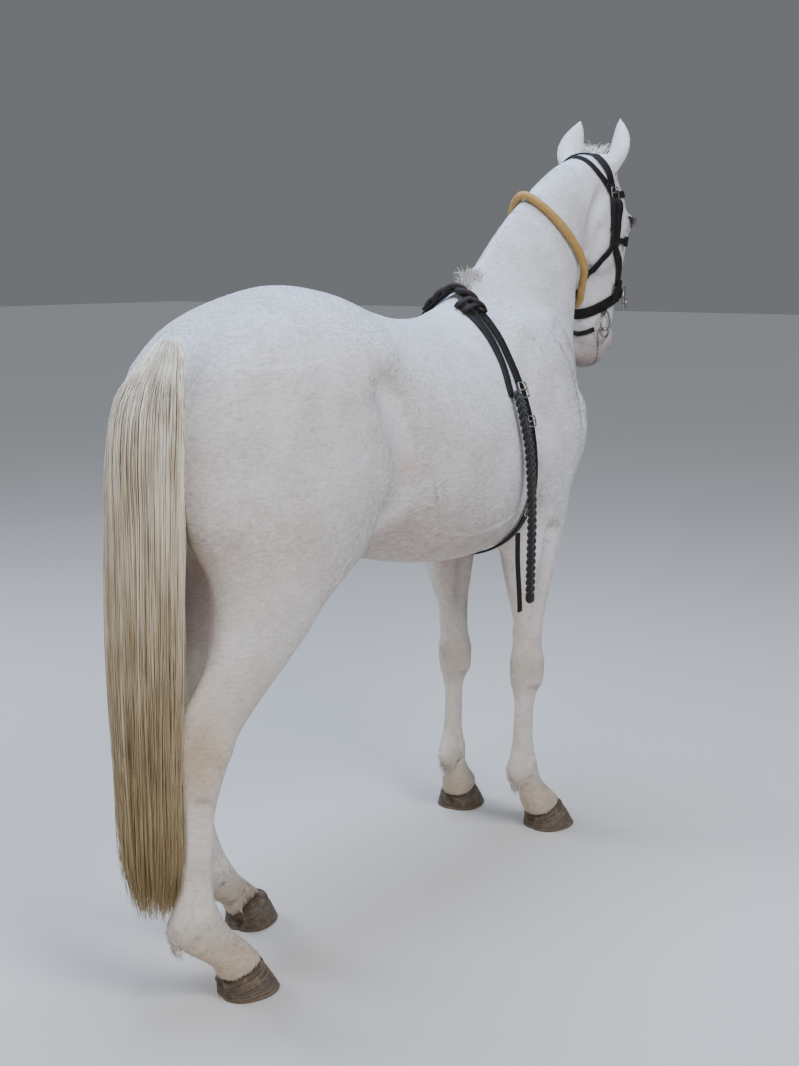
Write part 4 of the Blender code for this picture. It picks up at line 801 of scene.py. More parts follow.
# ---- the skin
EAR_LEVELS = [  # share of the height, half width, depth of the cup
    (0.0, .026, .028), (.15, .033, .03), (.35, .039, .028), (.55, .038, .023),
    (.75, .029, .017), (.9, .015, .01), (1.0, .0015, .0015),
]
EAR_ROOT = (1.032, .06, 1.825)
EAR_TIP = (1.082, .066, 1.986)
EAR_BOW = .02  # the ear bows out, so that its tip leans in
EAR_WALL = .0045
EAR_OPENING = 25  # degrees that the cup faces out from the front
EAR_INSET = .0012  # the ear is thinner than its levels by this much all round

def ear(side):
    """A leaf rolled into a cup that is open to the front, closed at its root."""
    rings, root, rise = [], Vector(EAR_ROOT), Vector(EAR_TIP) - Vector(EAR_ROOT)
    face = Matrix.Rotation(radians(EAR_OPENING), 3, "Z")
    levels = np.linspace(0, 1, 26) ** .9
    for level, (half, depth) in zip(levels, along(EAR_LEVELS, levels)):
        half, depth = max(half - EAR_INSET, .0008), max(depth - EAR_INSET, .0008)
        middle = root + rise * level + Vector((0, EAR_BOW * sin(pi * level), 0))
        hollow = max(0.0, min(1.0, (level - .1) / .22)) * (1 - level) ** .5
        loop = [(-depth * cos(a), half * sin(a)) for a in np.linspace(-1.75, 1.75, 25)]
        wall = min(EAR_WALL, half / 3)
        inner = [(-(depth - wall) * hollow * cos(a), (half - wall) * sin(a)) for a in np.linspace(1.65, -1.65, 21)]
        ring_points = [middle + face @ Vector((x, y, 0)) for x, y in loop + inner]
        rings.append([Vector((p.x, p.y * side, p.z)) for p in ring_points])
    return skinned(rings)

def listed(mesh):
    """The points and the faces of a bmesh."""
    return np.array([vert.co for vert in mesh.verts]), [[vert.index for vert in face.verts] for face in mesh.faces]

def refined(points, faces, levels):
    """The mesh with the faces cut in four where each level's test says so."""
    mesh = bmesh.new()
    verts = [mesh.verts.new(point) for point in points]
    for face in faces:
        mesh.faces.new([verts[n] for n in face])
    for test in levels:
        mesh.faces.ensure_lookup_table()
        centres = np.array([face.calc_center_median() for face in mesh.faces])
        chosen = np.flatnonzero(test(centres))
        edges = {edge for n in chosen for edge in mesh.faces[n].edges}
        bmesh.ops.subdivide_edges(mesh, edges=list(edges), cuts=1, use_grid_fill=True)
    mesh.verts.index_update()
    points, faces = listed(mesh)
    edges = np.array([[vert.index for vert in edge.verts] for edge in mesh.edges])
    mesh.free()
    return points, faces, edges

def eased(points, edges, share, rounds, held=None):
    """The points, moved towards the middle of their neighbours."""
    for _ in range(rounds):
        total, count = np.zeros_like(points), np.zeros(len(points))
        for a, b in ((0, 1), (1, 0)):
            np.add.at(total, edges[:, a], points[edges[:, b]])
            np.add.at(count, edges[:, a], 1)
        moved = points + share * (total / np.maximum(count, 1)[:, None] - points)
        points = moved if held is None else np.where(held[:, None], points, moved)
    return points

def near_to(centres, spot, reach):
    return np.linalg.norm(folded(centres) - np.array(spot), axis=1) < reach

def biggest(points, faces):
    """Only the largest joined lump of the mesh."""
    label = np.arange(len(points))
    faces = np.array(faces)
    while True:
        least = label[faces].min(1)
        fresh = label.copy()
        for column in faces.T:
            np.minimum.at(fresh, column, least)
        fresh = fresh[fresh]
        if (fresh == label).all():
            break
        label = fresh
    names, counts = np.unique(label, return_counts=True)
    kept = label == names[counts.argmax()]
    number = np.cumsum(kept) - 1
    return points[kept], number[faces[kept[faces[:, 0]]]]

FLESH_BOX = ((-.95, -.36, 0.0), (1.25, .36, 1.95))
FINE_LINES = CREASES + VEINS
HEAD_FROM = .88  # the head lies further forward than this, and over HEAD_OVER
HEAD_OVER = 1.22

def in_head(centres):
    return (centres[:, 0] > HEAD_FROM) & (centres[:, 2] > HEAD_OVER)

def near_lines(centres, reach):
    found = np.zeros(len(centres), bool)
    for route, *_ in FINE_LINES:
        for spot in smooth_line(route, .02):
            found |= near_to(centres, spot, reach)
    return found

FEET_UNDER = .25  # the mesh is cut finer under this height, on the head and near the lines
FINER = [  # a test for each further cut
    lambda spots: in_head(spots) | (spots[:, 2] < FEET_UNDER) | near_lines(spots, .025),
    lambda spots: near_to(spots, EYE, .055) | near_to(spots, NOSTRIL, .045) | near_lines(spots, .012),
    lambda spots: near_to(spots, EYE, .036) | near_to(spots, NOSTRIL, .03),
]

def make_skin():
    """The one skin with its ears joined on and its openings cut, and the masses that it lies on."""
    flesh = flesh_masses()
    masses = flesh + skin_details(flesh)
    axes = [np.arange(a, b + SKIN_GRID, SKIN_GRID) for a, b in zip(*FLESH_BOX)]
    start = flesh + [mass for mass in masses if isinstance(mass, OnLeg) and isinstance(mass.mass, Below)]
    points, faces = biggest(*net(axes, field(start, axes) + COAT_DEPTH))
    points, faces, edges = refined(points, faces, FINER)
    points = pulled(points, masses, -COAT_DEPTH, 3)
    for _ in range(3):
        points = pulled(eased(points, edges, .5, 1), masses, -COAT_DEPTH, 2)
    body = outwards(put("skin", points, faces, MATERIALS["coat"]))
    for kind, others in (("UNION", [ear(-1), ear(1)]), ("DIFFERENCE", openings())):
        other = outwards(put("other", *together(others), MATERIALS["coat"]))
        modifier = body.modifiers.new("other", "BOOLEAN")
        modifier.operation, modifier.object, modifier.solver = kind, other, "EXACT"
        applied(body, other)
    return body, masses

NOSTRIL_LINE = [(.48, .068, .032), (.487, .066, .043), (.499, .06, .05), (.512, .052, .052),
                (.522, .045, .049)]  # down, forward and out, with the radius of the hole along it
NOSTRIL_WIDTH = [.0045, .0085, .0105, .0085, .004]
MOUTH_CORNER = .474  # down from the poll
MOUTH_FORWARD = -.014
MOUTH_GAPE = .0024

SLIT_LEVELS = ((.003, .9), (.017, 1.0), (.035, 1.25))  # out from the eye's middle, and the slit's size there
MOUTH_REACH = .62  # the mouth is cut down to here, which is past the lips
EAR_SEAM = (1.035, .062, 1.88)
EAR_SEAM_OVER = 1.845

def almond(long, across, count):
    """The outline of the opening between the lids, round the eye's middle."""
    return [long * SLIT[0] * cos(a) + across * SLIT[1] * sin(a) * abs(sin(a)) ** .25 for a in circle(count)]

def openings():
    """Closed solids to cut from the skin: the eyes' slits, the nostrils and the line of the mouth."""
    found = []
    for flip in (-1, 1):
        centre, out, long, across = eye_frame(flip)
        flat = almond(long, across, 40)
        found.append(skinned([[Vector(centre + out * far + spot * grow) for spot in flat]
            for far, grow in SLIT_LEVELS]))
        line = smooth_line([on_head(down, forward, side * flip) for down, forward, side in NOSTRIL_LINE], .003)
        middle = Vector(on_head(.5, .03, 0.0))
        line = [spot + (middle - spot).normalized() * .003 for spot in line]
        widths = np.interp(np.linspace(0, 1, len(line)), np.linspace(0, 1, 5), NOSTRIL_WIDTH)
        found.append(tube(line, widths, sides=16))
    rings = []
    for down in np.linspace(MOUTH_CORNER, MOUTH_REACH, 14):
        gape = MOUTH_GAPE * min(1.0, .25 + (down - MOUTH_CORNER) / .05) / 2
        x = POLL[0] + MOUTH_FORWARD + .003 * sin((down - MOUTH_CORNER) * 40)
        corners = ((-1, -1), (1, -1), (1, 1), (-1, 1))
        rings.append([Vector((x + gape * a, .08 * b, POLL[2] - down)) for a, b in corners])
    found.append(skinned(rings))
    return found

def settle_skin(body, masses):
    """Smooths the seam round each ear's root and the rims of the nostrils and the mouth, and gives back the skin's
    points in the body's own frame."""
    mesh = body.data
    points = read(mesh.vertices, "co", 3, float) + SHIFT
    edges = read(mesh.edges, "vertices", 2, np.int32)
    on_surface = np.abs(measure(points, masses) + COAT_DEPTH) < .008
    seam = near_to(points, EAR_SEAM, .06) & on_surface & (points[:, 2] > EAR_SEAM_OVER)
    points = eased(points, edges, .5, 12, held=~seam)
    down, forward = POLL[2] - points[:, 2], points[:, 0] - POLL[0] - MOUTH_FORWARD
    lips = in_head(points) & (down > MOUTH_CORNER - .004) & (np.abs(forward) < .006)
    points = eased(points, edges, .4, 4, held=~(near_to(points, NOSTRIL, .036) | lips))
    mesh.vertices.foreach_set("co", (points - SHIFT).ravel())
    mesh.update()
    return points

# ---- marks on the coat, with painted light and shade, the same for the skin and the coat
def ease_in(values, start, end):
    t = np.clip((values - start) / (end - start), 0, 1)
    return t * t * (3 - 2 * t)

def spot_on(points, place, radii):
    away = (folded(points) - np.array(place)) / np.array(radii)
    return np.exp(-(away**2).sum(1))

def markings_and_painted_light(points, normals, masses):
    """Colour by place, with painted light and shade in it, and how bare the skin is."""
    x, y, z = points.T
    up, down = normals[:, 2], POLL[2] - z
    head = ease_in(x, .88, .94) * ease_in(z, 1.22, 1.26)
    legs = ease_in(-z, -.86, -.66)
    from_eye = np.linalg.norm(folded(points) - np.array(EYE) - eye_frame()[1] * EYE_RADIUS, axis=1)
    surface = measure(points, masses) + COAT_DEPTH
    inward = ease_in(-normals[:, 1] * np.sign(y), .1, .6)
    inner_ear = head * ease_in(z, 1.885, 1.9) * ease_in(normals[:, 0], 0.0, .45)
    layers = [  # how much, colour, how bare
        # painted light: the coat is tinted pale blue where it faces up, for the sky's light on the top
        (.5 * ease_in(up, .1, .9) * ease_in(z, 1.1, 1.45), "#d3dcea", 0),
        # painted shade: the sides of the hind half of the trunk and the quarters are greyed
        (.45 * ease_in(z, .86, 1.0) * ease_in(-z, -1.34, -1.12) * ease_in(-x, -.2, 0.0) * (1 - head), "#d0cbc8", 0),
        # partly thinner hair and belly stains, partly painted shade: the coat is tan where it faces down, under the
        # belly and chest
        (.55 * ease_in(-up, .05, .8) * ease_in(z, .7, .85) * (1 - head), "#c7aa94", .25),
        (.5 * legs, "#d6c9b4", 0),
        (.6 * inward * ease_in(z, .62, .8) * ease_in(-z, -1.08, -.92), "#b69c90", .5),
        (.45 * spot_on(points, (-.6, .15, .98), (.16, .12, .16)), "#cdb79c", .1),
        (.6 * spot_on(points, (-.78, .11, .56), (.07, .07, .1)), "#b8986a", 0),
        (.55 * spot_on(points, (-.62, .11, .56), (.07, .07, .1)), "#b8986a", 0),
        (.45 * spot_on(points, (.5, .13, .47), (.08, .07, .06)), "#b5a48c", 0),
        (.55 * ease_in(-z, -.23, -.1), "#b79d75", 0),
        (.55 * spot_on(points, (-.19, .25, 1.12), (.022, .05, .03)), "#c98f83", .6),
        (.5 * spot_on(points, (.4, .18, .97), (.06, .06, .08)), "#bfa08c", .4),
        (.8 * head * ease_in(down, .43, .53), "#a39089", .75),
        (.7 * head * ease_in(down, .53, .58), "#7f706c", .9),
        (.75 * head * spot_on(points, NOSTRIL, (.02, .02, .028)), "#5d4e4a", .8),
        # painted shade: near black where the skin lies deep inside the nostrils and the line of the mouth
        (.95 * head * ease_in(-surface, .002, .006) * ease_in(down, .44, .46), "#1d1413", .6),
        (.6 * head * ease_in(-from_eye, -.04, -.022), "#8a7f79", .6),
        (.8 * head * ease_in(-from_eye, -.025, -.017), "#4a413d", .9),
        (.6 * head * spot_on(points, on_head(.245, .02, .085), (.03, .03, .05)), "#cfc4ba", .1),
        (.7 * inner_ear, "#c3a79b", .5),
    ]
    colour = np.tile(linear("#e9e9ea"), (len(points), 1))
    bare = np.zeros(len(points))
    for share, tint, skin in layers:
        colour += share[:, None] * (np.array(linear(tint)) - colour)
        bare += share * (skin - bare)
    away = (points - np.array((.545, .075, .6))) / np.array((.02, .03, .032))
    chestnut = .9 * np.exp(-(away**2).sum(1))  # the horny spot inside the left fore leg
    colour += chestnut[:, None] * (np.array(linear("#5a4d43")) - colour)
    return colour, bare

# ---- the coat
TUFT_FIELDS = [  # zone, count, length, width, rise
    ("barrel", 47000, .02, .0036, .0011),
    ("quarters", 47000, .018, .0034, .0011),
    ("neck", 40000, .018, .0032, .0011),
    ("legs", 40000, .013, .0026, .001),
    ("head", 42000, .008, .0018, .0007),
]

def coat_lie(points):
    """Which way the hair lies: back along the body, down the neck, the legs and the face."""
    x, _, z = points.T
    ways = [
        (ease_in(x + .6 * z, 1.4, 1.62), (-.45, 0.0, -.9)),  # neck
        (ease_in(-z, -1.05, -.8), (-.12, 0.0, -1.0)),  # legs
        (ease_in(x, .88, .96) * ease_in(z, 1.22, 1.26), (-.1, 0.0, -1.0)),  # head
    ]
    lie = np.tile((-.92, 0.0, -.38), (len(points), 1))
    for share, way in ways:
        lie = lie + share[:, None] * (np.array(way) - lie)
    return lie

def in_zone(name, points):
    """Whether each place is in a zone of the coat. A zone holds what the ones before it leave."""
    x, _, z = points.T
    tests = {"head": in_head(points), "legs": z < .86, "neck": x + .6 * z > 1.48, "barrel": x > -.22}
    left = np.ones(len(points), bool)
    for zone, test in tests.items():
        if zone == name:
            return left & test
        left &= ~test
    return left  # the quarters

class Ground:
    """The skin as triangles, for placing hair on it."""

    def __init__(self, body, points, masses):
        mesh = body.data
        mesh.calc_loop_triangles()
        self.corners = read(mesh.loop_triangles, "vertices", 3, np.int32)
        loops = read(mesh.loop_triangles, "loops", 3, np.int32)
        self.places = read(mesh.uv_layers["OFBake"].data, "uv", 2)[loops]
        self.points = points
        self.normals = read(mesh.vertices, "normal", 3)
        self.colour, self.bare = markings_and_painted_light(points, self.normals, masses)
        a, b, c = (points[self.corners[:, n]] for n in range(3))
        self.area = np.linalg.norm(np.cross(b - a, c - a), axis=1) / 2
        self.centres = (a + b + c) / 3
        self.tree = BVHTree.FromPolygons([Vector(point) for point in points], self.corners.tolist())

    def scattered(self, count, weight):
        """Places, normals, colours, bareness and bake places of random roots."""
        weight = self.area * weight
        chosen = random.choice(len(weight), count, p=weight / weight.sum())
        share = random.dirichlet((1, 1, 1), count)
        take = [(values[self.corners[chosen]] * share[..., None]).sum(1) for values in (self.points, self.normals,
            self.colour, self.bare[:, None])]
        return (*take[:3], take[3][:, 0], (self.places[chosen] * share[..., None]).sum(1))

    def bake_places(self, roots):
        return np.array([self.places[self.tree.find_nearest(Vector(root))[2]].mean(0) for root in roots])

PATCH = .0015  # half of a tuft's patch on the bake map

def unit(vectors):
    return vectors / np.maximum(np.linalg.norm(vectors, axis=-1, keepdims=True), 1e-9)

def tufts(ground, zone, count, length, width, rise):
    """Thin closed slivers that overlap and lie along the skin."""
    thin = 1 - .75 * ground.bare[ground.corners].mean(1)
    roots, normals, colour, bare, places = ground.scattered(count, in_zone(zone, ground.centres) * thin)
    normals = unit(normals)
    lie = unit(coat_lie(roots) + random.normal(0, .16, (count, 3)))
    lie = unit(lie - normals * (lie * normals).sum(1, keepdims=True))
    across = np.cross(normals, lie)
    size = random.uniform(.7, 1.25, (count, 1)) * (1 - .4 * bare[:, None])
    lift = random.uniform(.5, 1.0, (count, 1)) ** 2 * rise
    tip = roots + lie * length * size + normals * (lift * 1.1 - .0002)
    ridge = roots + lie * length * .35 * size + normals * lift
    left = roots - across * width / 2 * size - normals * .0006
    right = roots + across * width / 2 * size - normals * .0006
    points = np.stack([left, right, ridge, tip], 1).reshape(-1, 3)
    one = np.array([(0, 3, 2), (2, 3, 1), (0, 1, 3), (0, 2, 1)])
    faces = (np.arange(count)[:, None, None] * 4 + one).reshape(-1, 3)
    tone = 1 + random.normal(0, .035, (count, 1))
    colour = np.repeat(np.clip(colour * tone, 0, 1), 4, 0)
    patch = np.array([(-PATCH, -PATCH), (PATCH, -PATCH), (0, 0), (0, PATCH)])
    maps = {"OFBake": (places[:, None, :] + patch).reshape(-1, 2)}
    marks = {"marks": colour, "bare": np.repeat(bare, 4)}
    thing = put("coat_" + zone, points, faces, MATERIALS["tufts"], maps, marks)
    thing.data.normals_split_custom_set_from_vertices(np.repeat(normals, 4, 0).tolist())
    return thing

def strands(ground, name, paths, radii, finish, sides=3):
    """Closed tapering hairs along paths (strand, place, xyz), with radii of the same shape."""
    count, steps = paths.shape[:2]
    runs = unit(np.gradient(paths, axis=1))
    first = unit(np.cross(runs, np.array((.31, .9, .27))))
    second = np.cross(runs, first)
    angles = circle(sides)
    loops = first[:, :, None] * np.cos(angles)[:, None] + second[:, :, None] * np.sin(angles)[:, None]
    points = (paths[:, :, None] + loops * radii[:, :, None, None]).reshape(-1, 3)
    one = []
    for step in range(steps - 1):
        for k in range(sides):
            a, b = step * sides + k, step * sides + (k + 1) % sides
            one.append((a, b, b + sides, a + sides))
    quads = (np.arange(count)[:, None, None] * steps * sides + np.array(one)).reshape(-1, 4).tolist()
    base = np.arange(count)[:, None] * steps * sides
    caps = (base + np.arange(sides)[::-1]).tolist() + (base + (steps - 1) * sides + np.arange(sides)).tolist()
    shade = np.repeat(random.uniform(0, 1, count), steps * sides)
    along_it = np.tile(np.repeat(np.linspace(0, 1, steps), sides), count)
    places = ground.bake_places(paths[:, 0])
    patch = np.stack([np.tile(np.cos(angles), steps), np.repeat(np.linspace(-1, 1, steps), sides)], 1) * PATCH
    maps = {"strand": np.stack([shade, along_it], 1), "OFBake": (places[:, None] + patch).reshape(-1, 2)}
    return outwards(put(name, points, quads + caps, finish, maps))

# ---- long hair
TAIL_LOCKS = 240
TAIL_STRANDS = 8  # in each lock
TAIL_STEPS = 17
TAIL_TOP = 1.424
CORE_SIDES = 48
CORE_SHADE = .2  # the place of the whole core in the shades of the strands

def tail_hair(ground, name):
    """Straight strands in locks that fall from the dock, fuller below it and thin at the end."""
    count = TAIL_LOCKS * TAIL_STRANDS
    lock = np.repeat(np.arange(TAIL_LOCKS), TAIL_STRANDS)
    turn = random.uniform(0, 2 * pi, TAIL_LOCKS)[lock] + random.normal(0, .14, count)
    share = np.sqrt(random.uniform(.3, 1, TAIL_LOCKS))[lock] + random.normal(0, .05, count)
    share = np.clip(share, .1, .98)
    top = TAIL_TOP - .2 * random.uniform(0, 1, TAIL_LOCKS)[lock] ** 3 - random.uniform(0, .03, count)
    end = .2 + random.uniform(0, 1, TAIL_LOCKS)[lock] ** 2 * .42 + random.uniform(0, .05, count)
    phase = random.uniform(0, 2 * pi, (2, TAIL_LOCKS))[:, lock]
    t = np.linspace(0, 1, TAIL_STEPS)[None] ** 1.25
    height = top[:, None] * (1 - t) + end[:, None] * t
    low, high, _, half, _, _ = (values.reshape(height.shape) for values in along(TAIL, height.ravel()).T)
    spread = ease_in(t, 0.0, .16)
    reach = share[:, None] * (.8 + .2 * spread)
    wave = np.stack([np.sin(phase[0][:, None] + t * 7), np.sin(phase[1][:, None] + t * 6)], 0) * .005 * t
    drift = random.normal(0, .0055, (2, count, 1)) * t + random.normal(0, .004, (2, count, 1)) * t**3
    x = (low + high) / 2 + (high - low) / 2 * reach * np.cos(turn)[:, None] + wave[0] + drift[0]
    y = TAIL_FOOT + TAIL_LEAN * height + half * reach * np.sin(turn)[:, None] + wave[1] + drift[1]
    thick = random.uniform(.0008, .0015, (count, 1)) * (1 - .75 * t**3) * (.7 + .3 * spread)
    paths = np.stack([x, y, height], 2)
    return strands(ground, name, paths, thick, MATERIALS["tail"])

def tail_core():
    """What shows between the strands: the inner hair, packed and dark."""
    rings = []
    for height in np.linspace(.42, 1.4, 30):
        low, high, _, half, _, _ = along(TAIL, np.array([height]))[0]
        middle, reach = (low + high) / 2, (high - low) / 2
        thin = min(.8, .3 + (height - .42) * 1.3, .8 - (height - 1.2) * 1.2)
        rings.append([Vector((middle + reach * thin * cos(a) * (1 + .06 * sin(9 * a)),
            TAIL_FOOT + TAIL_LEAN * height + half * thin * sin(a) * (1 + .06 * sin(11 * a)),
            height)) for a in circle(CORE_SIDES)])
    points, faces = skinned(rings)
    heights = np.repeat(np.linspace(1, 0, len(rings)), CORE_SIDES)
    maps = {"strand": np.stack([np.full(len(heights), CORE_SHADE), heights], 1)}
    return outwards(put("tail_core", points, faces, MATERIALS["tail_core"], maps))

def wisps(ground, name, roots, ends, bow, radius, spread, steps=9, finish="wisps"):
    """Short loose hairs from roots to ends, bowed, each end strayed by spread."""
    count = len(roots)
    roots = np.array(roots)
    ends = np.array(ends) + random.normal(0, 1, (count, 3)) * np.array(spread)
    t = np.linspace(0, 1, steps)[None, :, None]
    paths = roots[:, None] * (1 - t) + ends[:, None] * t + np.array(bow) * (np.sin(t * pi))
    paths = paths + random.normal(0, 1, (count, 1, 3)) * .004 * np.sin(t * pi * 1.5)
    radii = radius * random.uniform(.6, 1.2, (count, 1)) * (1 - .8 * t[..., 0] ** 2)
    return strands(ground, name, paths, radii, MATERIALS[finish])

FORELOCK_HAIRS = 230
MANE_HAIRS = 110
FETLOCK_HAIRS = 120  # on each leg
EAR_HAIRS = 90  # in each ear
LASHES = 26  # on each eye

def rooted(points, sunk=0.0):
    """The points, pulled onto the skin and sunk into it."""
    return pulled(points, flesh_masses(), -COAT_DEPTH - sunk, 4)

def forelock(ground):
    """A fluffy tuft between the ears with a few long hairs down the brow."""
    count = FORELOCK_HAIRS
    place = random.uniform(-1, 1, (count, 2))
    spots = [POLL[0] - .005 + place[:, 0] * .03, place[:, 1] * .03, np.full(count, POLL[2] + .03)]
    roots = rooted(np.stack(spots, 1))
    long = random.uniform(0, 1, count) ** 3
    ends = roots + np.stack([.03 + .055 * long, place[:, 1] * .012, .034 - .085 * long], 1)
    return wisps(ground, "forelock_hair", roots, ends, (.008, 0, .014), .0013, (.009, .008, .006))

def mane_tuft(ground):
    """What is left of the mane at the withers."""
    count = MANE_HAIRS
    t = random.uniform(0, 1, count)
    roots = rooted(np.stack([.365 + .075 * t, random.normal(0, .006, count), 1.49 + .03 * t], 1))
    ends = roots + np.stack([np.full(count, -.03), np.full(count, -.01), .018 + .014 * np.sin(pi * t)], 1)
    return wisps(ground, "mane_hair", roots, ends, (0, 0, .006), .0011, (.009, .008, .005))

def fringe(ground):
    """Longer hairs behind the fetlocks and inside the ears, and the lashes."""
    roots = []
    for name, stance in STANCE.items():
        side = 1 if "left" in name else -1
        x, y, twist = along(stance, np.array([.17]))[0]
        back = -.12 if "fore" in name else -.18
        angle = radians(twist) * side
        for _ in range(FETLOCK_HAIRS):
            across, height = random.uniform(-.02, .02), random.uniform(.12, .205)
            local = (back + .004 + abs(across) * .5, across)
            roots.append((x + local[0] * cos(angle) - local[1] * sin(angle),
                y + local[0] * sin(angle) + local[1] * cos(angle), height))
    roots = rooted(np.array(roots), .001)
    ends = roots + np.array((-.004, 0, -.024))
    feather = wisps(ground, "fetlock_hair", roots, ends, (-.003, 0, 0), .0009, (.003, .003, .004), 6)
    roots, ends = [], []
    for side in (-1, 1):
        for _ in range(EAR_HAIRS):
            level = random.uniform(.1, .62)
            middle = np.array(EAR_ROOT) + (np.array(EAR_TIP) - EAR_ROOT) * level
            middle[1] += EAR_BOW * sin(pi * level)
            root = middle + np.array((-.004, random.uniform(-.015, .018), 0))
            roots.append(root * (1, side, 1))
            ends.append((root + (.024, .004, .012)) * (1, side, 1))
    inner = wisps(ground, "ear_hair", roots, ends, (.002, 0, .002), .0008, (.004, .004, .005), 6)
    centre, out, long, across = eye_frame()
    roots, ends = [], []
    for side in (-1, 1):
        for place in np.linspace(-.75, .75, LASHES):
            root = centre + long * place * SLIT[0] + across * SLIT[1] * (1 - place**2) ** .6
            root += out * sqrt(max(0.0, LID_REACH**2 - ((root - EYE) ** 2).sum()))
            end = root + out * .013 + across * .004 + np.array((.002, 0, -.007))
            roots.append(root * (1, side, 1))
            ends.append(end * (1, side, 1))
    lashes = wisps(ground, "lashes", roots, ends, (0, 0, 0), .00045, (.001, .001, .001), 5, "lash")
    return [feather, inner, lashes]

def lid_rims():
    """The moist dark edges of the lids, round the slit."""
    parts = []
    for flip in (-1, 1):
        centre, out, long, across = eye_frame(flip)
        line = [Vector(centre + spot * 1.03 + out * sqrt(max(0.0, LID_REACH**2 - ((spot * 1.03) ** 2).sum())))
            for spot in almond(long, across, 72)]
        parts.append(tube(line, .0019, closed=True, sides=10))
    return outwards(put("lid_rims", *together(parts), MATERIALS["lid"]))

# ---- hooves and eyes
HOOVES = {  # length and width on the ground
    "fore": (.142, .128),
    "hind": (.136, .116),
}
CORONET = (.096, .088)  # length and width of the hoof's top
CORONET_MIDDLE = -.006  # forward of the plumb line
SOLE_MIDDLE = .02
HOOF_SIDES = 64
HOOF_STEPS = 22

def hoof(name):
    """A hoof's wall: round at the toe, squarer at the heel, ringed by its growth."""
    length, width = HOOVES[name[:4]]
    _, x, y, twist = STANCE[name][0]
    side = 1 if "left" in name else -1
    stand = Matrix.Translation((x, y, 0)) @ Matrix.Rotation(radians(twist) * side, 4, "Z")
    rings, places = [], []
    levels = np.concatenate([(0.0, .012, .035), np.linspace(.07, .93, HOOF_STEPS), (.965, .99, 1.0)])
    for level in levels:
        edge = .0035 * max(0.0, 1 - level / .035) ** 2 + .004 * max(0.0, (level - .95) / .05) ** 2
        growth = .0005 * sin(level * 44 + .6 * sin(level * 9)) * (.04 < level < .95)
        band = .0022 * exp(-((level - .9) / .05) ** 2)
        flare = .002 * (1 - level) ** 3
        long = length + (CORONET[0] - length) * level + 2 * (growth + band + flare - edge)
        wide = width + (CORONET[1] - width) * level + .004 * sin(pi * level) + 2 * (growth + band + flare - edge)
        middle = SOLE_MIDDLE + (CORONET_MIDDLE - SOLE_MIDDLE) * level
        loop = []
        for n in range(HOOF_SIDES):
            angle = 2 * pi * n / HOOF_SIDES
            square = 1.0 if cos(angle) > 0 else .75
            lx = copysign(abs(cos(angle)) ** square, cos(angle)) * long / 2
            ly = copysign(abs(sin(angle)) ** .9, sin(angle)) * wide / 2
            lx += exp(-(ly / .01) ** 2) * .01 * (lx < 0) * min(1.0, level * 1.4 + .25)  # cleft of the heel
            height = (CORONET_HEIGHT + CORONET_SLOPE * (middle + lx)) * level
            loop.append(stand @ Vector((middle + lx, ly, height)))
            places.append((n / HOOF_SIDES, level))
        rings.append(loop)
    points, faces = skinned(rings)
    return outwards(put("horn_" + name, points, faces, MATERIALS["horn"], {"horn": places}))

def eye(name, flip):
    """A ball with the iris laid on it as a map, its long axis along the slit of the lids."""
    centre, out, long, across = eye_frame(flip)
    mesh = bmesh.new()
    bmesh.ops.create_uvsphere(mesh, u_segments=48, v_segments=32, radius=EYE_RADIUS - .0006)
    points, faces = listed(mesh)
    mesh.free()
    places = np.stack([points @ long, points @ across], 1) / EYE_RADIUS
    places[points @ out < 0] *= 9
    return outwards(put(name, points + centre, faces, MATERIALS["eye"], {"iris": places}))

# ---- straps
def sweep(middles, normals, width, thickness, closed):
    """Points, faces and strap places of a flat strap with round edges along the middles, across the normals."""
    rings, places, count = [], [], len(middles)
    arc = np.linspace(-pi / 2, pi / 2, 5)
    radius, flat = thickness / 2, width / 2 - thickness / 2
    outline = [(flat + radius * cos(a), radius * sin(a)) for a in arc]
    outline += [(-x, -y) for x, y in outline]
    for n, (middle, normal) in enumerate(zip(middles, normals)):
        run = run_at(middles, n, closed).normalized()
        across = normal.cross(run).normalized()
        up = run.cross(across).normalized()
        rings.append([middle + across * x + up * y for x, y in outline])
        places += [(n / count, x / width + .5) for x, _ in outline]
    return (*skinned(rings, closed), places)

def strap(name, middles, normals, width, thickness, closed, finish, stitched=True):
    points, faces, places = sweep(middles, normals, width, thickness, closed)
    made = outwards(put(name, points, faces, MATERIALS[finish], {"strap": places}))
    if stitched:
        stitches(middles, normals, width, thickness)
    return made

def between(places, lengths, line):
    """The points of a line at some lengths along it."""
    return np.stack([np.interp(places, lengths, column) for column in np.array(line).T], 1)

STITCH_PITCH = .0058
STITCH_INSET = .0035  # of each row from the strap's edge
STITCH_SPOTS = []  # place, run and up of each stitch

def stitches(middles, normals, width, thickness):
    """Two rows of stitches, one along each edge of a strap."""
    lengths = lengths_along(middles)
    places = np.arange(.004, lengths[-1] - .003, STITCH_PITCH)
    middle, up = between(places, lengths, middles), unit(between(places, lengths, normals))
    run = unit(np.gradient(middle, axis=0))
    across = unit(np.cross(up, run))
    up = np.cross(run, across)
    for side in (-1, 1):
        rows = middle + across * side * (width / 2 - STITCH_INSET) + up * (thickness / 2 + .0001)
        STITCH_SPOTS.extend(zip(rows, run, up))

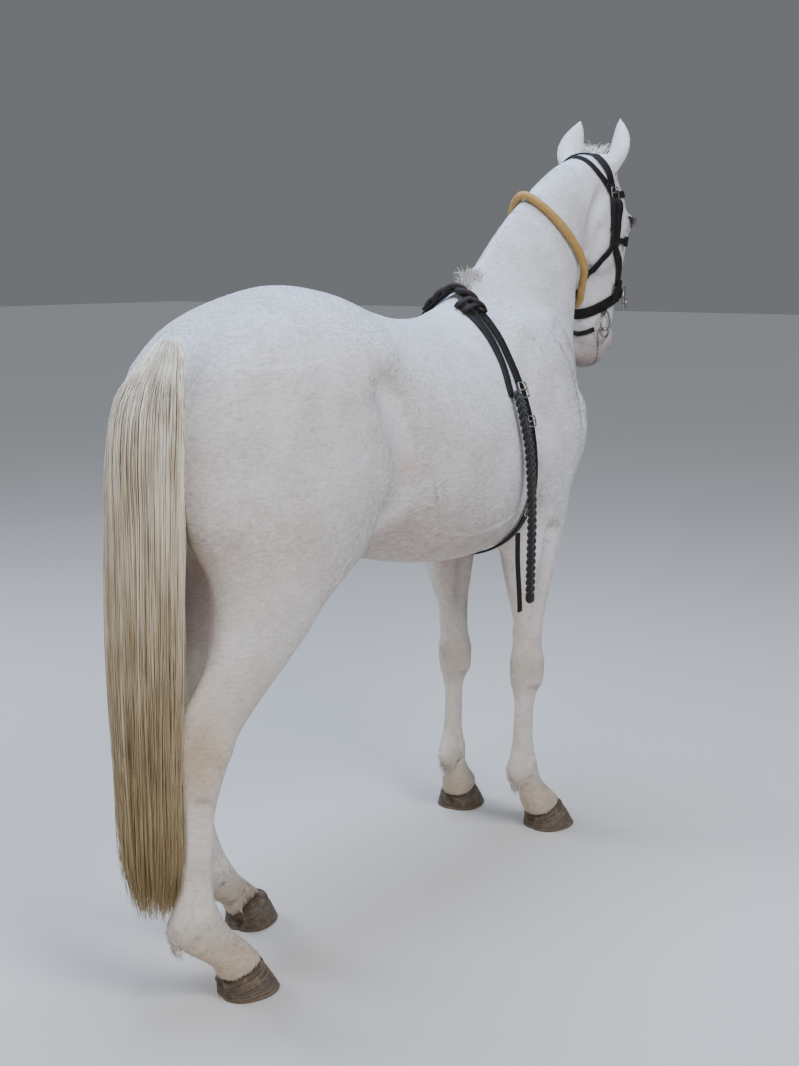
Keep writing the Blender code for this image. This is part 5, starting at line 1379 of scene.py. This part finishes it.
def repeated(name, item, spots, finish):
    """The item at each (place, run, up), set out by Geometry Nodes and made real."""
    group = bpy.data.node_groups.new(name, "GeometryNodeTree")
    group.interface.new_socket("Spots", in_out="INPUT", socket_type="NodeSocketGeometry")
    group.interface.new_socket("Made", in_out="OUTPUT", socket_type="NodeSocketGeometry")
    start = add(group, "NodeGroupInput")
    axes = [add(group, "GeometryNodeInputNamedAttribute", {"Name": key}, data_type="FLOAT_VECTOR").outputs[0]
        for key in ("run", "up")]
    turn = add(group, "FunctionNodeAxesToRotation", enumerate(axes), primary_axis="X", secondary_axis="Z")
    source = add(group, "GeometryNodeObjectInfo", {"Object": item})
    items = add(group, "GeometryNodeInstanceOnPoints", {"Points": start.outputs["Spots"],
        "Instance": source.outputs["Geometry"], "Rotation": turn.outputs[0]})
    real = add(group, "GeometryNodeRealizeInstances", {0: items.outputs[0]})
    finished = add(group, "GeometryNodeSetMaterial", {"Geometry": real.outputs[0], "Material": finish})
    add(group, "NodeGroupOutput", {0: finished.outputs[0]})
    mesh = bpy.data.meshes.new(name)
    mesh.from_pydata([tuple(place - SHIFT) for place, _, _ in spots], [], [])
    for key, column in (("run", 1), ("up", 2)):
        values = np.array([spot[column] for spot in spots], np.float32)
        mesh.attributes.new(key, "FLOAT_VECTOR", "POINT").data.foreach_set("vector", values.ravel())
    thing = placed(name, mesh)
    thing.modifiers.new(name, "NODES").node_group = group
    applied(thing, item)
    return thing

def stitch_item():
    """One stitch: a short flattened bead of waxed thread."""
    points, faces = tube([(-.0019, 0, 0), (-.0014, 0, .0004), (0, 0, .0006), (.0014, 0, .0004), (.0019, 0, 0)],
        [.0002, .0005, .0006, .0005, .0002], sides=6)
    thing = put("stitch", np.array([tuple(p) for p in points]) + SHIFT, faces, MATERIALS["thread"])
    return outwards(thing)

def hull(points):
    """The convex outline of flat points, counter-clockwise."""
    points = sorted(points)
    outline = []
    for run in (points, points[::-1]):
        half = []
        for x, y in run:
            while len(half) > 1 and ((half[-1][0] - half[-2][0]) * (y - half[-2][1])
                <= (half[-1][1] - half[-2][1]) * (x - half[-2][0])):
                half.pop()
            half.append((x, y))
        outline += half[:-1]
    return outline

def evenly(points, count, closed):
    """The same line through count points that lie evenly along it."""
    points = [Vector(point) for point in points]
    if closed:
        points.append(points[0])
    lengths = lengths_along(points)
    places = np.linspace(0, lengths[-1], count + 1)[:-1] if closed else np.linspace(0, lengths[-1], count)
    return [Vector(point) for point in between(places, lengths, points)]

def girth(tree, centre, normal, width, thickness, count, reach=.6, lift=STRAP_CLEARANCE, sag=0.0):
    """The middles and normals of a taut strap round a limb: the hull of the limb's section, a little off the
    flesh. Sag lets the lowest part hang loose by that much."""
    centre, normal = Vector(centre), Vector(normal).normalized()
    first = Vector((0, 1, 0))
    second = normal.cross(first)
    section = []
    for n in range(2 * count):
        angle = pi * n / count
        out = first * cos(angle) + second * sin(angle)
        radii = []
        for shift in (-.5, -.25, 0, .25, .5):
            start = centre + out * reach + normal * width * shift
            hit = tree.ray_cast(start, -out, reach)[0]
            if hit:
                radii.append((hit - centre).dot(out))
        if radii:
            radius = max(radii) + lift + thickness / 2
            section.append((radius * cos(angle), radius * sin(angle)))
    middles = [centre + first * x + second * y for x, y in evenly(hull(section), count, True)]
    lowest = min(point.z for point in middles)
    highest = max(point.z for point in middles)
    middles = [point - Vector((0, 0, sag * ((highest - point.z) / (highest - lowest)) ** 2)) for point in middles]
    middle = sum(middles, Vector()) / count
    normals = []
    for n in range(count):
        out = run_at(middles, n, True).cross(normal)
        normals.append((out if out.dot(middles[n] - middle) > 0 else -out).normalized())
    return middles, normals

FEELERS = [(aside, on) for aside in (-1, 0, 1) for on in (-1, 0, 1)]  # across and along a strap

def laid(name, tree, route, width, thickness, finish, lift=STRAP_CLEARANCE, spacing=.009, sag=0.0):
    """A strap on the flesh along a route, lifted where the flesh bulges. Sag lets it hang where it crosses the
    middle."""
    places = smooth_line(route, spacing)
    feet, normals = [], []
    for place in places:
        hit, normal = tree.find_nearest(place)[:2]
        feet.append(hit)
        normals.append(normal)
    for _ in range(8):
        padded = [normals[0], *normals, normals[-1]]
        normals = [(a + 2 * b + c).normalized() for a, b, c in zip(padded, normals, padded[2:])]
    lifts = []
    for n, (foot, normal) in enumerate(zip(feet, normals)):
        run = run_at(feet, n)
        across = normal.cross(run).normalized() * width / 2
        half_step = run * .25
        need = 0.0
        for aside, on in FEELERS:
            hit = tree.ray_cast(foot + across * aside + half_step * on + normal * .05, -normal, .1)[0]
            if hit:
                need = max(need, (hit - foot).dot(normal))
        lifts.append(need)
    lifts = [max(lifts[max(n - 2, 0):n + 3]) for n in range(len(lifts))]
    lifts = [sum(lifts[max(n - 2, 0):n + 3]) / len(lifts[max(n - 2, 0):n + 3]) for n in range(len(lifts))]
    middles = [foot + normal * (need + lift + thickness / 2) for foot, normal, need in zip(feet, normals, lifts)]
    widest = max(abs(middle.y) for middle in middles)
    middles = [middle - Vector((0, 0, sag * (1 - (middle.y / widest) ** 2))) for middle in middles]
    return strap(name, middles, normals, width, thickness, False, finish)

CROWN_BUCKLE = on_head(.078, -.014, -.086)
CHEEK_JOINT = on_head(.213, -.03, -.095)
CHEEK_BOSS = on_head(.215, .05, -.09)
CROWN_BACK = on_heads((.052, -.046, -.078), (.02, -.07, -.062), (-.012, -.088, -.03), (-.02, -.092, 0.0))
CROWN_FRONT = on_heads((.05, -.022, -.082), (.012, -.036, -.074), (-.018, -.042, -.045), (-.035, -.04, 0.0))
CHEEK_UPPER = on_heads((.1, -.016, -.088), (.15, -.022, -.094), (.188, -.026, -.096))
CHEEK_LOWER = on_heads((.24, -.008, -.092), (.275, .032, -.082), (.318, .046, -.074), (.345, .046, -.068))
THROATLATCH = on_heads((.24, -.046, -.092), (.268, -.08, -.08), (.3, -.098, -.045), (.31, -.102, 0.0))
THROATLATCH_SAG = .016
BROWBAND = on_heads((.082, .012, -.088), (.078, .06, -.082), (.074, .1, -.04), (.073, .112, 0.0))
CURB = on_heads((.47, -.03, -.04), (.48, -.055, -.02), (.483, -.06, 0.0))
NOSEBAND = (on_head(.385, .035), (.367, 0, -.93))  # middle and direction of the ring that it lies in
NOSEBAND_WIDTH = .032
NOSEBAND_THICKNESS = .006
HEADSTRAP_WIDTH = .02
HEADSTRAP_THICKNESS = .004

def mirrored(route):
    return [(x, -y, z) for x, y, z in route]

def across_middle(route):
    """A route that ends on the middle of the head, carried on down the other side."""
    return route + mirrored(route[:-1])[::-1]

SURCINGLE_X = .32
SURCINGLE_WIDTH = .026
SURCINGLE_THICKNESS = .005
FALL = [(.286, -.09, 1.445), (.284, -.14, 1.392), (.272, -.195, 1.32), (.252, -.235, 1.262)]
FALL_WIDTH = .028
FALL_UNDER_KNOTS = (.289, -.04, 1.477)  # it starts under both knots
FALL_IN_PLAIT = (.2505, -.238, 1.25)  # and ends behind the plait's top
KNOT_SIZE = (.034, .022, .016, .006)  # reach to each side, height, width, thickness
KNOTS = [("knot_upper", (.306, -.046, 1.472)), ("knot_lower", (.306, -.066, 1.456))]
GIRTH_BUCKLES = [  # name, height on the surcingle, size
    ("girth_buckle_upper", 1.255, (.04, .036)),
    ("girth_buckle_middle", 1.18, (.026, .034)),
    ("girth_buckle_lower", .955, (.046, .038)),
]
PLAIT = [(.2508, -.235, 1.26), (.244, -.254, 1.222), (.24, -.268, 1.18), (.236, -.282, 1.13), (.231, -.294, 1.04),
    (.226, -.301, .94), (.222, -.302, .84), (.22, -.302, .735)]
PLAIT_DIAMETER = .028
PLAIT_PITCH = .052
BILLET_TOP = .885  # height on the surcingle where the loose end leaves it
BILLET_END = .675
BILLET_DRIFT = .012
BILLET_WIDTH = .02
BILLET_THICKNESS = .005
BILLET_STEPS = 24

def wrap(name, tree, middle, run, reach, height, width, thickness, finish):
    """A short band that arches over a strap, from the flesh on one side to the flesh on the other."""
    foot, normal = tree.find_nearest(middle)[:2]
    run = Vector(run)
    run = (run - normal * run.dot(normal)).normalized()
    across = normal.cross(run)
    places, normals = [], []
    for n in range(25):
        angle = pi * (n / 24 - .5)
        side = sin(angle)
        place = foot + across * side * reach + normal * height
        hit = tree.ray_cast(place + normal * .05, -normal, .2)[0]
        floor = (hit - foot).dot(normal)
        lift = max(height * cos(angle) ** .5, floor + thickness / 2 + STRAP_CLEARANCE)
        places.append(foot + across * side * reach + normal * lift)
        normals.append((normal * cos(angle) ** .5 + across * side).normalized())
    return strap(name, places, normals, width, thickness, False, finish, False)

def plaited(route, width):
    """Points and faces of three cords plaited round a route, and the route itself, closely stepped."""
    route = smooth_line(route, .0035)
    lengths = lengths_along(route)
    cord = width * .235
    swing = width / 2 - cord
    parts = []
    for turn in range(3):
        line, thick = [], []
        for n, (middle, place) in enumerate(zip(route, lengths)):
            run = run_at(route, n).normalized()
            out = Vector((0, -1, 0))
            across = run.cross(out).normalized()
            angle = 2 * pi * (place / PLAIT_PITCH + turn / 3)
            close = min(1.0, .35 + place / .03, .45 + (lengths[-1] - place) / .05)
            line.append(middle + across * swing * sin(angle) * close
                + across.cross(run) * swing * .55 * sin(2 * angle) * close)
            thick.append(cord * min(1.0, .5 + place / .01))
        parts.append(tube(line, thick))
    end, before = route[-1], route[-8]
    parts.append(tube([before, before.lerp(end, .15), before.lerp(end, .85), end], [.008, .0115, .0118, .007],
        sides=16))
    return (*together(parts), route, float(lengths[-1]))

def clasp(name, middle, normal, run, size, bar, lift):
    """A buckle that lies flat on a strap: a rounded frame with a bar and a tongue."""
    normal, run = Vector(normal).normalized(), Vector(run).normalized()
    across = normal.cross(run).normalized()
    run, base = across.cross(normal), Vector(middle) + normal * (lift + bar / 2)
    corners = []
    for n in range(40):
        angle = 2 * pi * (n + .5) / 40
        x = copysign(abs(cos(angle)) ** .4, cos(angle)) * size[0] / 2
        y = copysign(abs(sin(angle)) ** .4, sin(angle)) * size[1] / 2
        corners.append(base + run * x + across * y)
    tongue = [base + normal * bar * .5, base + run * size[0] * .25 + normal * bar * .9,
        base + run * size[0] * .5 + normal * bar * .6]
    parts = [tube(corners, bar / 2, closed=True, sides=8),
        tube([base - across * size[1] / 2, base + across * size[1] / 2], bar * .42, sides=8),
        tube(tongue, bar * .36, sides=8)]
    return outwards(put(name, *together(parts), MATERIALS["steel"]))

def hoop(name, centre, normal, radius, bar, squash=1.0):
    """A round or oval metal ring."""
    turn = Vector((0, 0, 1)).rotation_difference(Vector(normal)).to_matrix()
    line = [Vector(centre) + turn @ Vector((radius * cos(a), radius * squash * sin(a), 0)) for a in circle(48)]
    return outwards(put(name, *tube(line, bar / 2, closed=True, sides=12), MATERIALS["steel"]))

PAD_STEPS = 15

def pad(name, middle, normal, run, size, thickness):
    """A short stiff piece of leather with round ends, laid on a spot."""
    middles = [Vector(middle) + run * size * (n / (PAD_STEPS - 1) - .5) for n in range(PAD_STEPS)]
    points, faces, marks = sweep(middles, [normal] * PAD_STEPS, size, thickness, False)
    middle, across = Vector(middle), normal.cross(run).normalized()
    rounded = []
    for point in points:
        off = point - middle
        limit = max(0.0, 1 - abs(off.dot(run) / (size / 2)) ** 5) ** .2
        rounded.append(point - across * off.dot(across) * (1 - limit))
    return outwards(put(name, rounded, faces, MATERIALS["leather"], {"strap": marks}))

LINKS = [  # short straps that join the others: route, width and lift
    ("crown_end_back", [CROWN_BACK[0], on_head(.085, -.026, -.087), on_head(.12, -.022, -.091)], .02, .003),
    ("crown_end_front", [CROWN_FRONT[0], on_head(.085, -.012, -.088), on_head(.12, -.01, -.091)], .02, .003),
    ("brow_end", [on_head(.076, -.02, -.086), BROWBAND[0], on_head(.08, .03, -.088)], .02, .005),
    ("cheek_strap_back", on_heads((.1, -.028, -.089), (.15, -.034, -.094), (.215, -.038, -.095)), .021, .009),
    ("cheek_strap_front", on_heads((.1, -.004, -.09), (.15, -.01, -.095), (.228, -.016, -.095)), .021, .009),
    ("throat_end", [on_head(.205, -.03, -.095), THROATLATCH[0], on_head(.262, -.072, -.083)], .02, .006),
    ("cheek_end", [on_head(.215, -.022, -.095), CHEEK_LOWER[0], on_head(.262, .016, -.087)], .026, .005),
    ("nose_end", on_heads((.325, .046, -.073), (.352, .044, -.067), (.392, .03, -.062)), .026, .009),
    ("boss_strap", on_heads((.21, -.02, -.095), (.214, .016, -.094), (.215, .05, -.09)), .018, .003),
    ("bit_strap", on_heads((.392, .012, -.062), (.41, .004, -.061), (.428, -.004, -.06)), .016, .005),
]

def make_bridle(tree, extra):
    made = {}
    width, thickness = HEADSTRAP_WIDTH, HEADSTRAP_THICKNESS
    for name, route, wide in (("bridle_crown_back", CROWN_BACK, width), ("bridle_crown_front", CROWN_FRONT, width),
        ("browband", BROWBAND, width), ("curb_strap", CURB, .014)):
        made[name] = laid(name + "_leather", tree, across_middle(route), wide, thickness, "leather")
    made["throatlatch"] = laid("throatlatch_leather", tree, across_middle(THROATLATCH), width, thickness, "leather",
        .004, sag=THROATLATCH_SAG)
    size = NOSEBAND_WIDTH, NOSEBAND_THICKNESS
    line = girth(tree, *NOSEBAND, *size, 90, .15, .004)
    made["noseband"] = strap("noseband_leather", *line, *size, True, "leather")
    for side, flip in (("right", 1), ("left", -1)):
        turn = (lambda route: route) if flip == 1 else mirrored
        made["cheek_upper_" + side] = laid("cheek_upper_leather_" + side, tree, turn(CHEEK_UPPER), .044, .007,
            "leather")
        for name, route, wide, lift in LINKS:
            extra.append(laid(name + "_" + side, tree, turn(route), wide, .0042, "leather", lift))
        bar = [Vector(on_head(.47, -.012, -.072 * flip)), Vector(on_head(.47, -.012, -.05 * flip))]
        extra.append(outwards(put("bit_end_" + side, *tube(bar, .0055, sides=12), MATERIALS["steel"])))
        made["cheek_lower_" + side] = laid("cheek_lower_leather_" + side, tree, turn(CHEEK_LOWER), .028, .005,
            "leather")
        foot, normal = tree.find_nearest(turn([CROWN_BUCKLE])[0])[:2]
        made["crown_buckle_" + side] = clasp("crown_buckle_steel_" + side, foot, normal, (0, 0, 1), (.034, .036),
            .0036, .0065)
        for name, spot, size in (("cheek_joint_", CHEEK_JOINT, .036), ("cheek_boss_", CHEEK_BOSS, .03)):
            foot, normal = tree.find_nearest(turn([spot])[0])[:2]
            run = normal.cross(Vector((0, 0, 1))).cross(normal).normalized()
            made[name + side] = pad(name + "leather_" + side, foot + normal * .009, normal, run, size, .011)
        centre = on_head(.456, -.008, -.065 * flip)
        made["bit_ring_" + side] = hoop("bit_ring_steel_" + side, centre, (.15, -flip, 0), .038, .0065)
    made["noseband_ring"] = hoop("noseband_ring_steel", on_head(.381, .08, -.08), (.35, -.94, 0.0), .036, .0075, .86)
    tab = on_heads((.384, .04, -.066), (.384, .058, -.07), (.383, .07, -.066))
    extra.append(laid("ring_tab", tree, tab, .02, .004, "leather", .01))
    return made

COLLAR_RADIUS = .0112
TWIST_RADIUS = .0085  # of each strand, and of its sway to the front and back
TWIST_LIFT = .009
TWIST_DEPTH = .005
TWIST_SPACING = .34  # of the strands' own points, in steps of the surcingle
TWIST_FROM = 1.435  # the strap is twisted over the withers, above this height
TWIST_STEP = .95  # turn of the two strands round each other, in radians a step of the surcingle

COLLAR = ((.784, 0, 1.612), (.744, 0, .668))  # middle and direction of the ring that it lies in
COLLAR_SIDES = 20

def make_collar(tree):
    """A round padded tube that hangs loose round the neck."""
    middles, _ = girth(tree, *COLLAR, .024, .02, 120, .215, .005, .03)
    points, faces = tube(middles, COLLAR_RADIUS, closed=True, sides=COLLAR_SIDES)
    places = [(0, .5 + .3 * sin(angle)) for angle in circle(COLLAR_SIDES)] * len(middles)
    return outwards(put("neck_collar_leather", points, faces, MATERIALS["collar"], {"strap": places}))

def twisted(middles, normals):
    """Two strands that wind round each other on top of the surcingle, over the withers."""
    count = len(middles)
    over = [n for n in range(count) if middles[n].z > TWIST_FROM]
    first = next(n for n in over if (n - 1) % count not in over)
    over = [(first + n) % count for n in range(len(over))]
    made = []
    for turn in (0, pi):
        line, thick = [], []
        for t in np.arange(0, len(over) - 1, TWIST_SPACING):
            near, past, angle = over[int(t)], over[int(t) + 1], t * TWIST_STEP + turn
            middle, normal = middles[near].lerp(middles[past], t % 1), normals[near].lerp(normals[past], t % 1)
            lift = TWIST_LIFT + TWIST_DEPTH * cos(angle)
            line.append(middle + normal * lift + Vector((TWIST_RADIUS * sin(angle), 0, 0)))
            thick.append(TWIST_RADIUS * min(1.0, .45 + .12 * min(t, len(over) - 1 - t)))
        made.append(outwards(put("twist", *tube(line, thick, sides=12), MATERIALS["brown"])))
    return made

def make_surcingle(tree, extra):
    middles, normals = girth(tree, (SURCINGLE_X, 0, 1.16), (1, 0, 0), SURCINGLE_WIDTH, SURCINGLE_THICKNESS, 160,
        lift=.0045)
    around = list(zip(middles, normals))
    made = {"surcingle": strap("surcingle_leather", middles, normals, SURCINGLE_WIDTH, SURCINGLE_THICKNESS, True,
        "leather")}
    made["strap_fall"] = laid("strap_fall_leather", tree, [FALL_UNDER_KNOTS] + FALL + [FALL_IN_PLAIT], FALL_WIDTH,
        .006, "brown")
    for name, spot in KNOTS:
        made[name] = wrap(name + "_leather", tree, spot, (0, -.7, -.7), *KNOT_SIZE, "brown")
    for name, height, size in GIRTH_BUCKLES:
        middle, normal = min(around, key=lambda pair: abs(pair[0].z - height) + (pair[0].y > 0))
        run = normal.cross(Vector((1, 0, 0)))
        made[name] = clasp(name + "_steel", middle, normal, run, size, .0045, SURCINGLE_THICKNESS / 2)
    extra.extend(twisted(middles, normals))
    top, normal = min(around, key=lambda pair: abs(pair[0].z - BILLET_TOP) + (pair[0].y > 0))
    out = top + normal * (SURCINGLE_THICKNESS + .0006) + Vector((0, -BILLET_THICKNESS, 0))
    drop = out.z - BILLET_END
    billet = [out + Vector((BILLET_DRIFT * t, .002 * sin(t * 5), -drop * t))
        for t in np.linspace(0, 1, BILLET_STEPS)]
    made["billet"] = strap("billet_leather", billet, [Vector((0, -1, 0))] * BILLET_STEPS, BILLET_WIDTH,
        BILLET_THICKNESS, False, "leather")
    return made

# ---- putting it together
FLESH_NODES = ["trunk", "neck", "head", "ear_left", "ear_right"]
FLESH_NODES += [f"{leg_name}_{half}" for leg_name in ("fore_left", "fore_right", "hind_left", "hind_right")
    for half in ("upper", "lower")]

plait_points, plait_faces, plait_route, plait_length = plaited(PLAIT, PLAIT_DIAMETER)
plait = outwards(put("plait_cord", plait_points, plait_faces, MATERIALS["rope"]))
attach(plait, "root")
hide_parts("plait")
plait_route = [tuple(np.array(point) - SHIFT) for point in plait_route]

skin, all_masses = make_skin()
skin_points = settle_skin(skin, all_masses)
bpy.context.view_layer.objects.active = skin
skin.select_set(True)
bpy.ops.object.mode_set(mode="EDIT")
bpy.ops.mesh.select_all(action="SELECT")
skin.data.uv_layers.new(name="OFBake")
bpy.ops.uv.smart_project(angle_limit=radians(66), island_margin=.002)
bpy.ops.object.mode_set(mode="OBJECT")
ground = Ground(skin, skin_points, all_masses)
mark(skin.data, {"marks": ground.colour, "bare": ground.bare})

coat = [skin] + [tufts(ground, *zone) for zone in TUFT_FIELDS]
tail = [tail_hair(ground, "tail_hair_" + part) for part in ("near", "off")] + [tail_core()]
brow, withers = forelock(ground), mane_tuft(ground)
trim = fringe(ground) + [lid_rims()]
extra = []
tack = {**make_bridle(ground.tree, extra), "neck_collar": make_collar(ground.tree),
    **make_surcingle(ground.tree, extra)}
thread = repeated("stitching", stitch_item(), STITCH_SPOTS, MATERIALS["thread"])

BY_SLOT = {"coat": coat + trim, "tail_hair": tail + [brow, withers], "bridle_leather": [thread] + extra}
for slot, things in BY_SLOT.items():
    for thing in things:
        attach(thing, "root")
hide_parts(*FLESH_NODES)
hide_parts("tail")
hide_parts("forelock")
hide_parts("mane_tuft")
for name in STANCE:
    horn = hoof(name)
    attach(horn, "root")
    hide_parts("hoof_" + name)
for side, flip in (("right", -1), ("left", 1)):
    ball = eye("eye_ball_" + side, flip)
    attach(ball, "root")
    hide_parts("eye_" + side)
for name, thing in tack.items():
    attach(thing, "root")
    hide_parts(name)

# ---- floor and light
FLOOR_SIZE = 80.0
bpy.ops.mesh.primitive_plane_add(size=FLOOR_SIZE, location=(0, 0, -.0005))
floor = bpy.context.object
floor.name = "floor"
floor.data.materials.append(MATERIALS["floor"])
LIGHTS = [  # name, place, size, power, tint
    ("key", (-1.2, -3.2, 4.0), 1.6, 150, "#f2f5ff"),
    ("low", (-3.8, -1.6, .9), 2.0, 30, "#ffe4cc"),
    ("back", (-1.8, 4.2, 3.4), 2.0, 130, "#e6efff"),
    ("top", (0.0, .5, 4.6), 2.4, 210, "#c0d5fa"),
]
LIGHTS_AIM = Vector((0, 0, .9))
for name, place, size, power, tint in LIGHTS:
    lamp = bpy.data.lights.new(name, "AREA")
    lamp.size, lamp.energy, lamp.color = size, power, linear(tint)
    lit = placed(name, lamp)
    lit.location = place
    lit.rotation_euler = (LIGHTS_AIM - Vector(place)).to_track_quat("-Z", "Y").to_euler()
sky = bpy.data.lights.new("sky", "SUN")
sky.energy, sky.angle, sky.color = .9, radians(90), linear("#dbe7fb")
placed("sky", sky)
world = bpy.data.worlds.new("studio")
world.use_nodes = True
background = world.node_tree.nodes["Background"].inputs
background["Color"].default_value = rgba("#dfe3e8")
background["Strength"].default_value = .22
bpy.context.scene.world = world
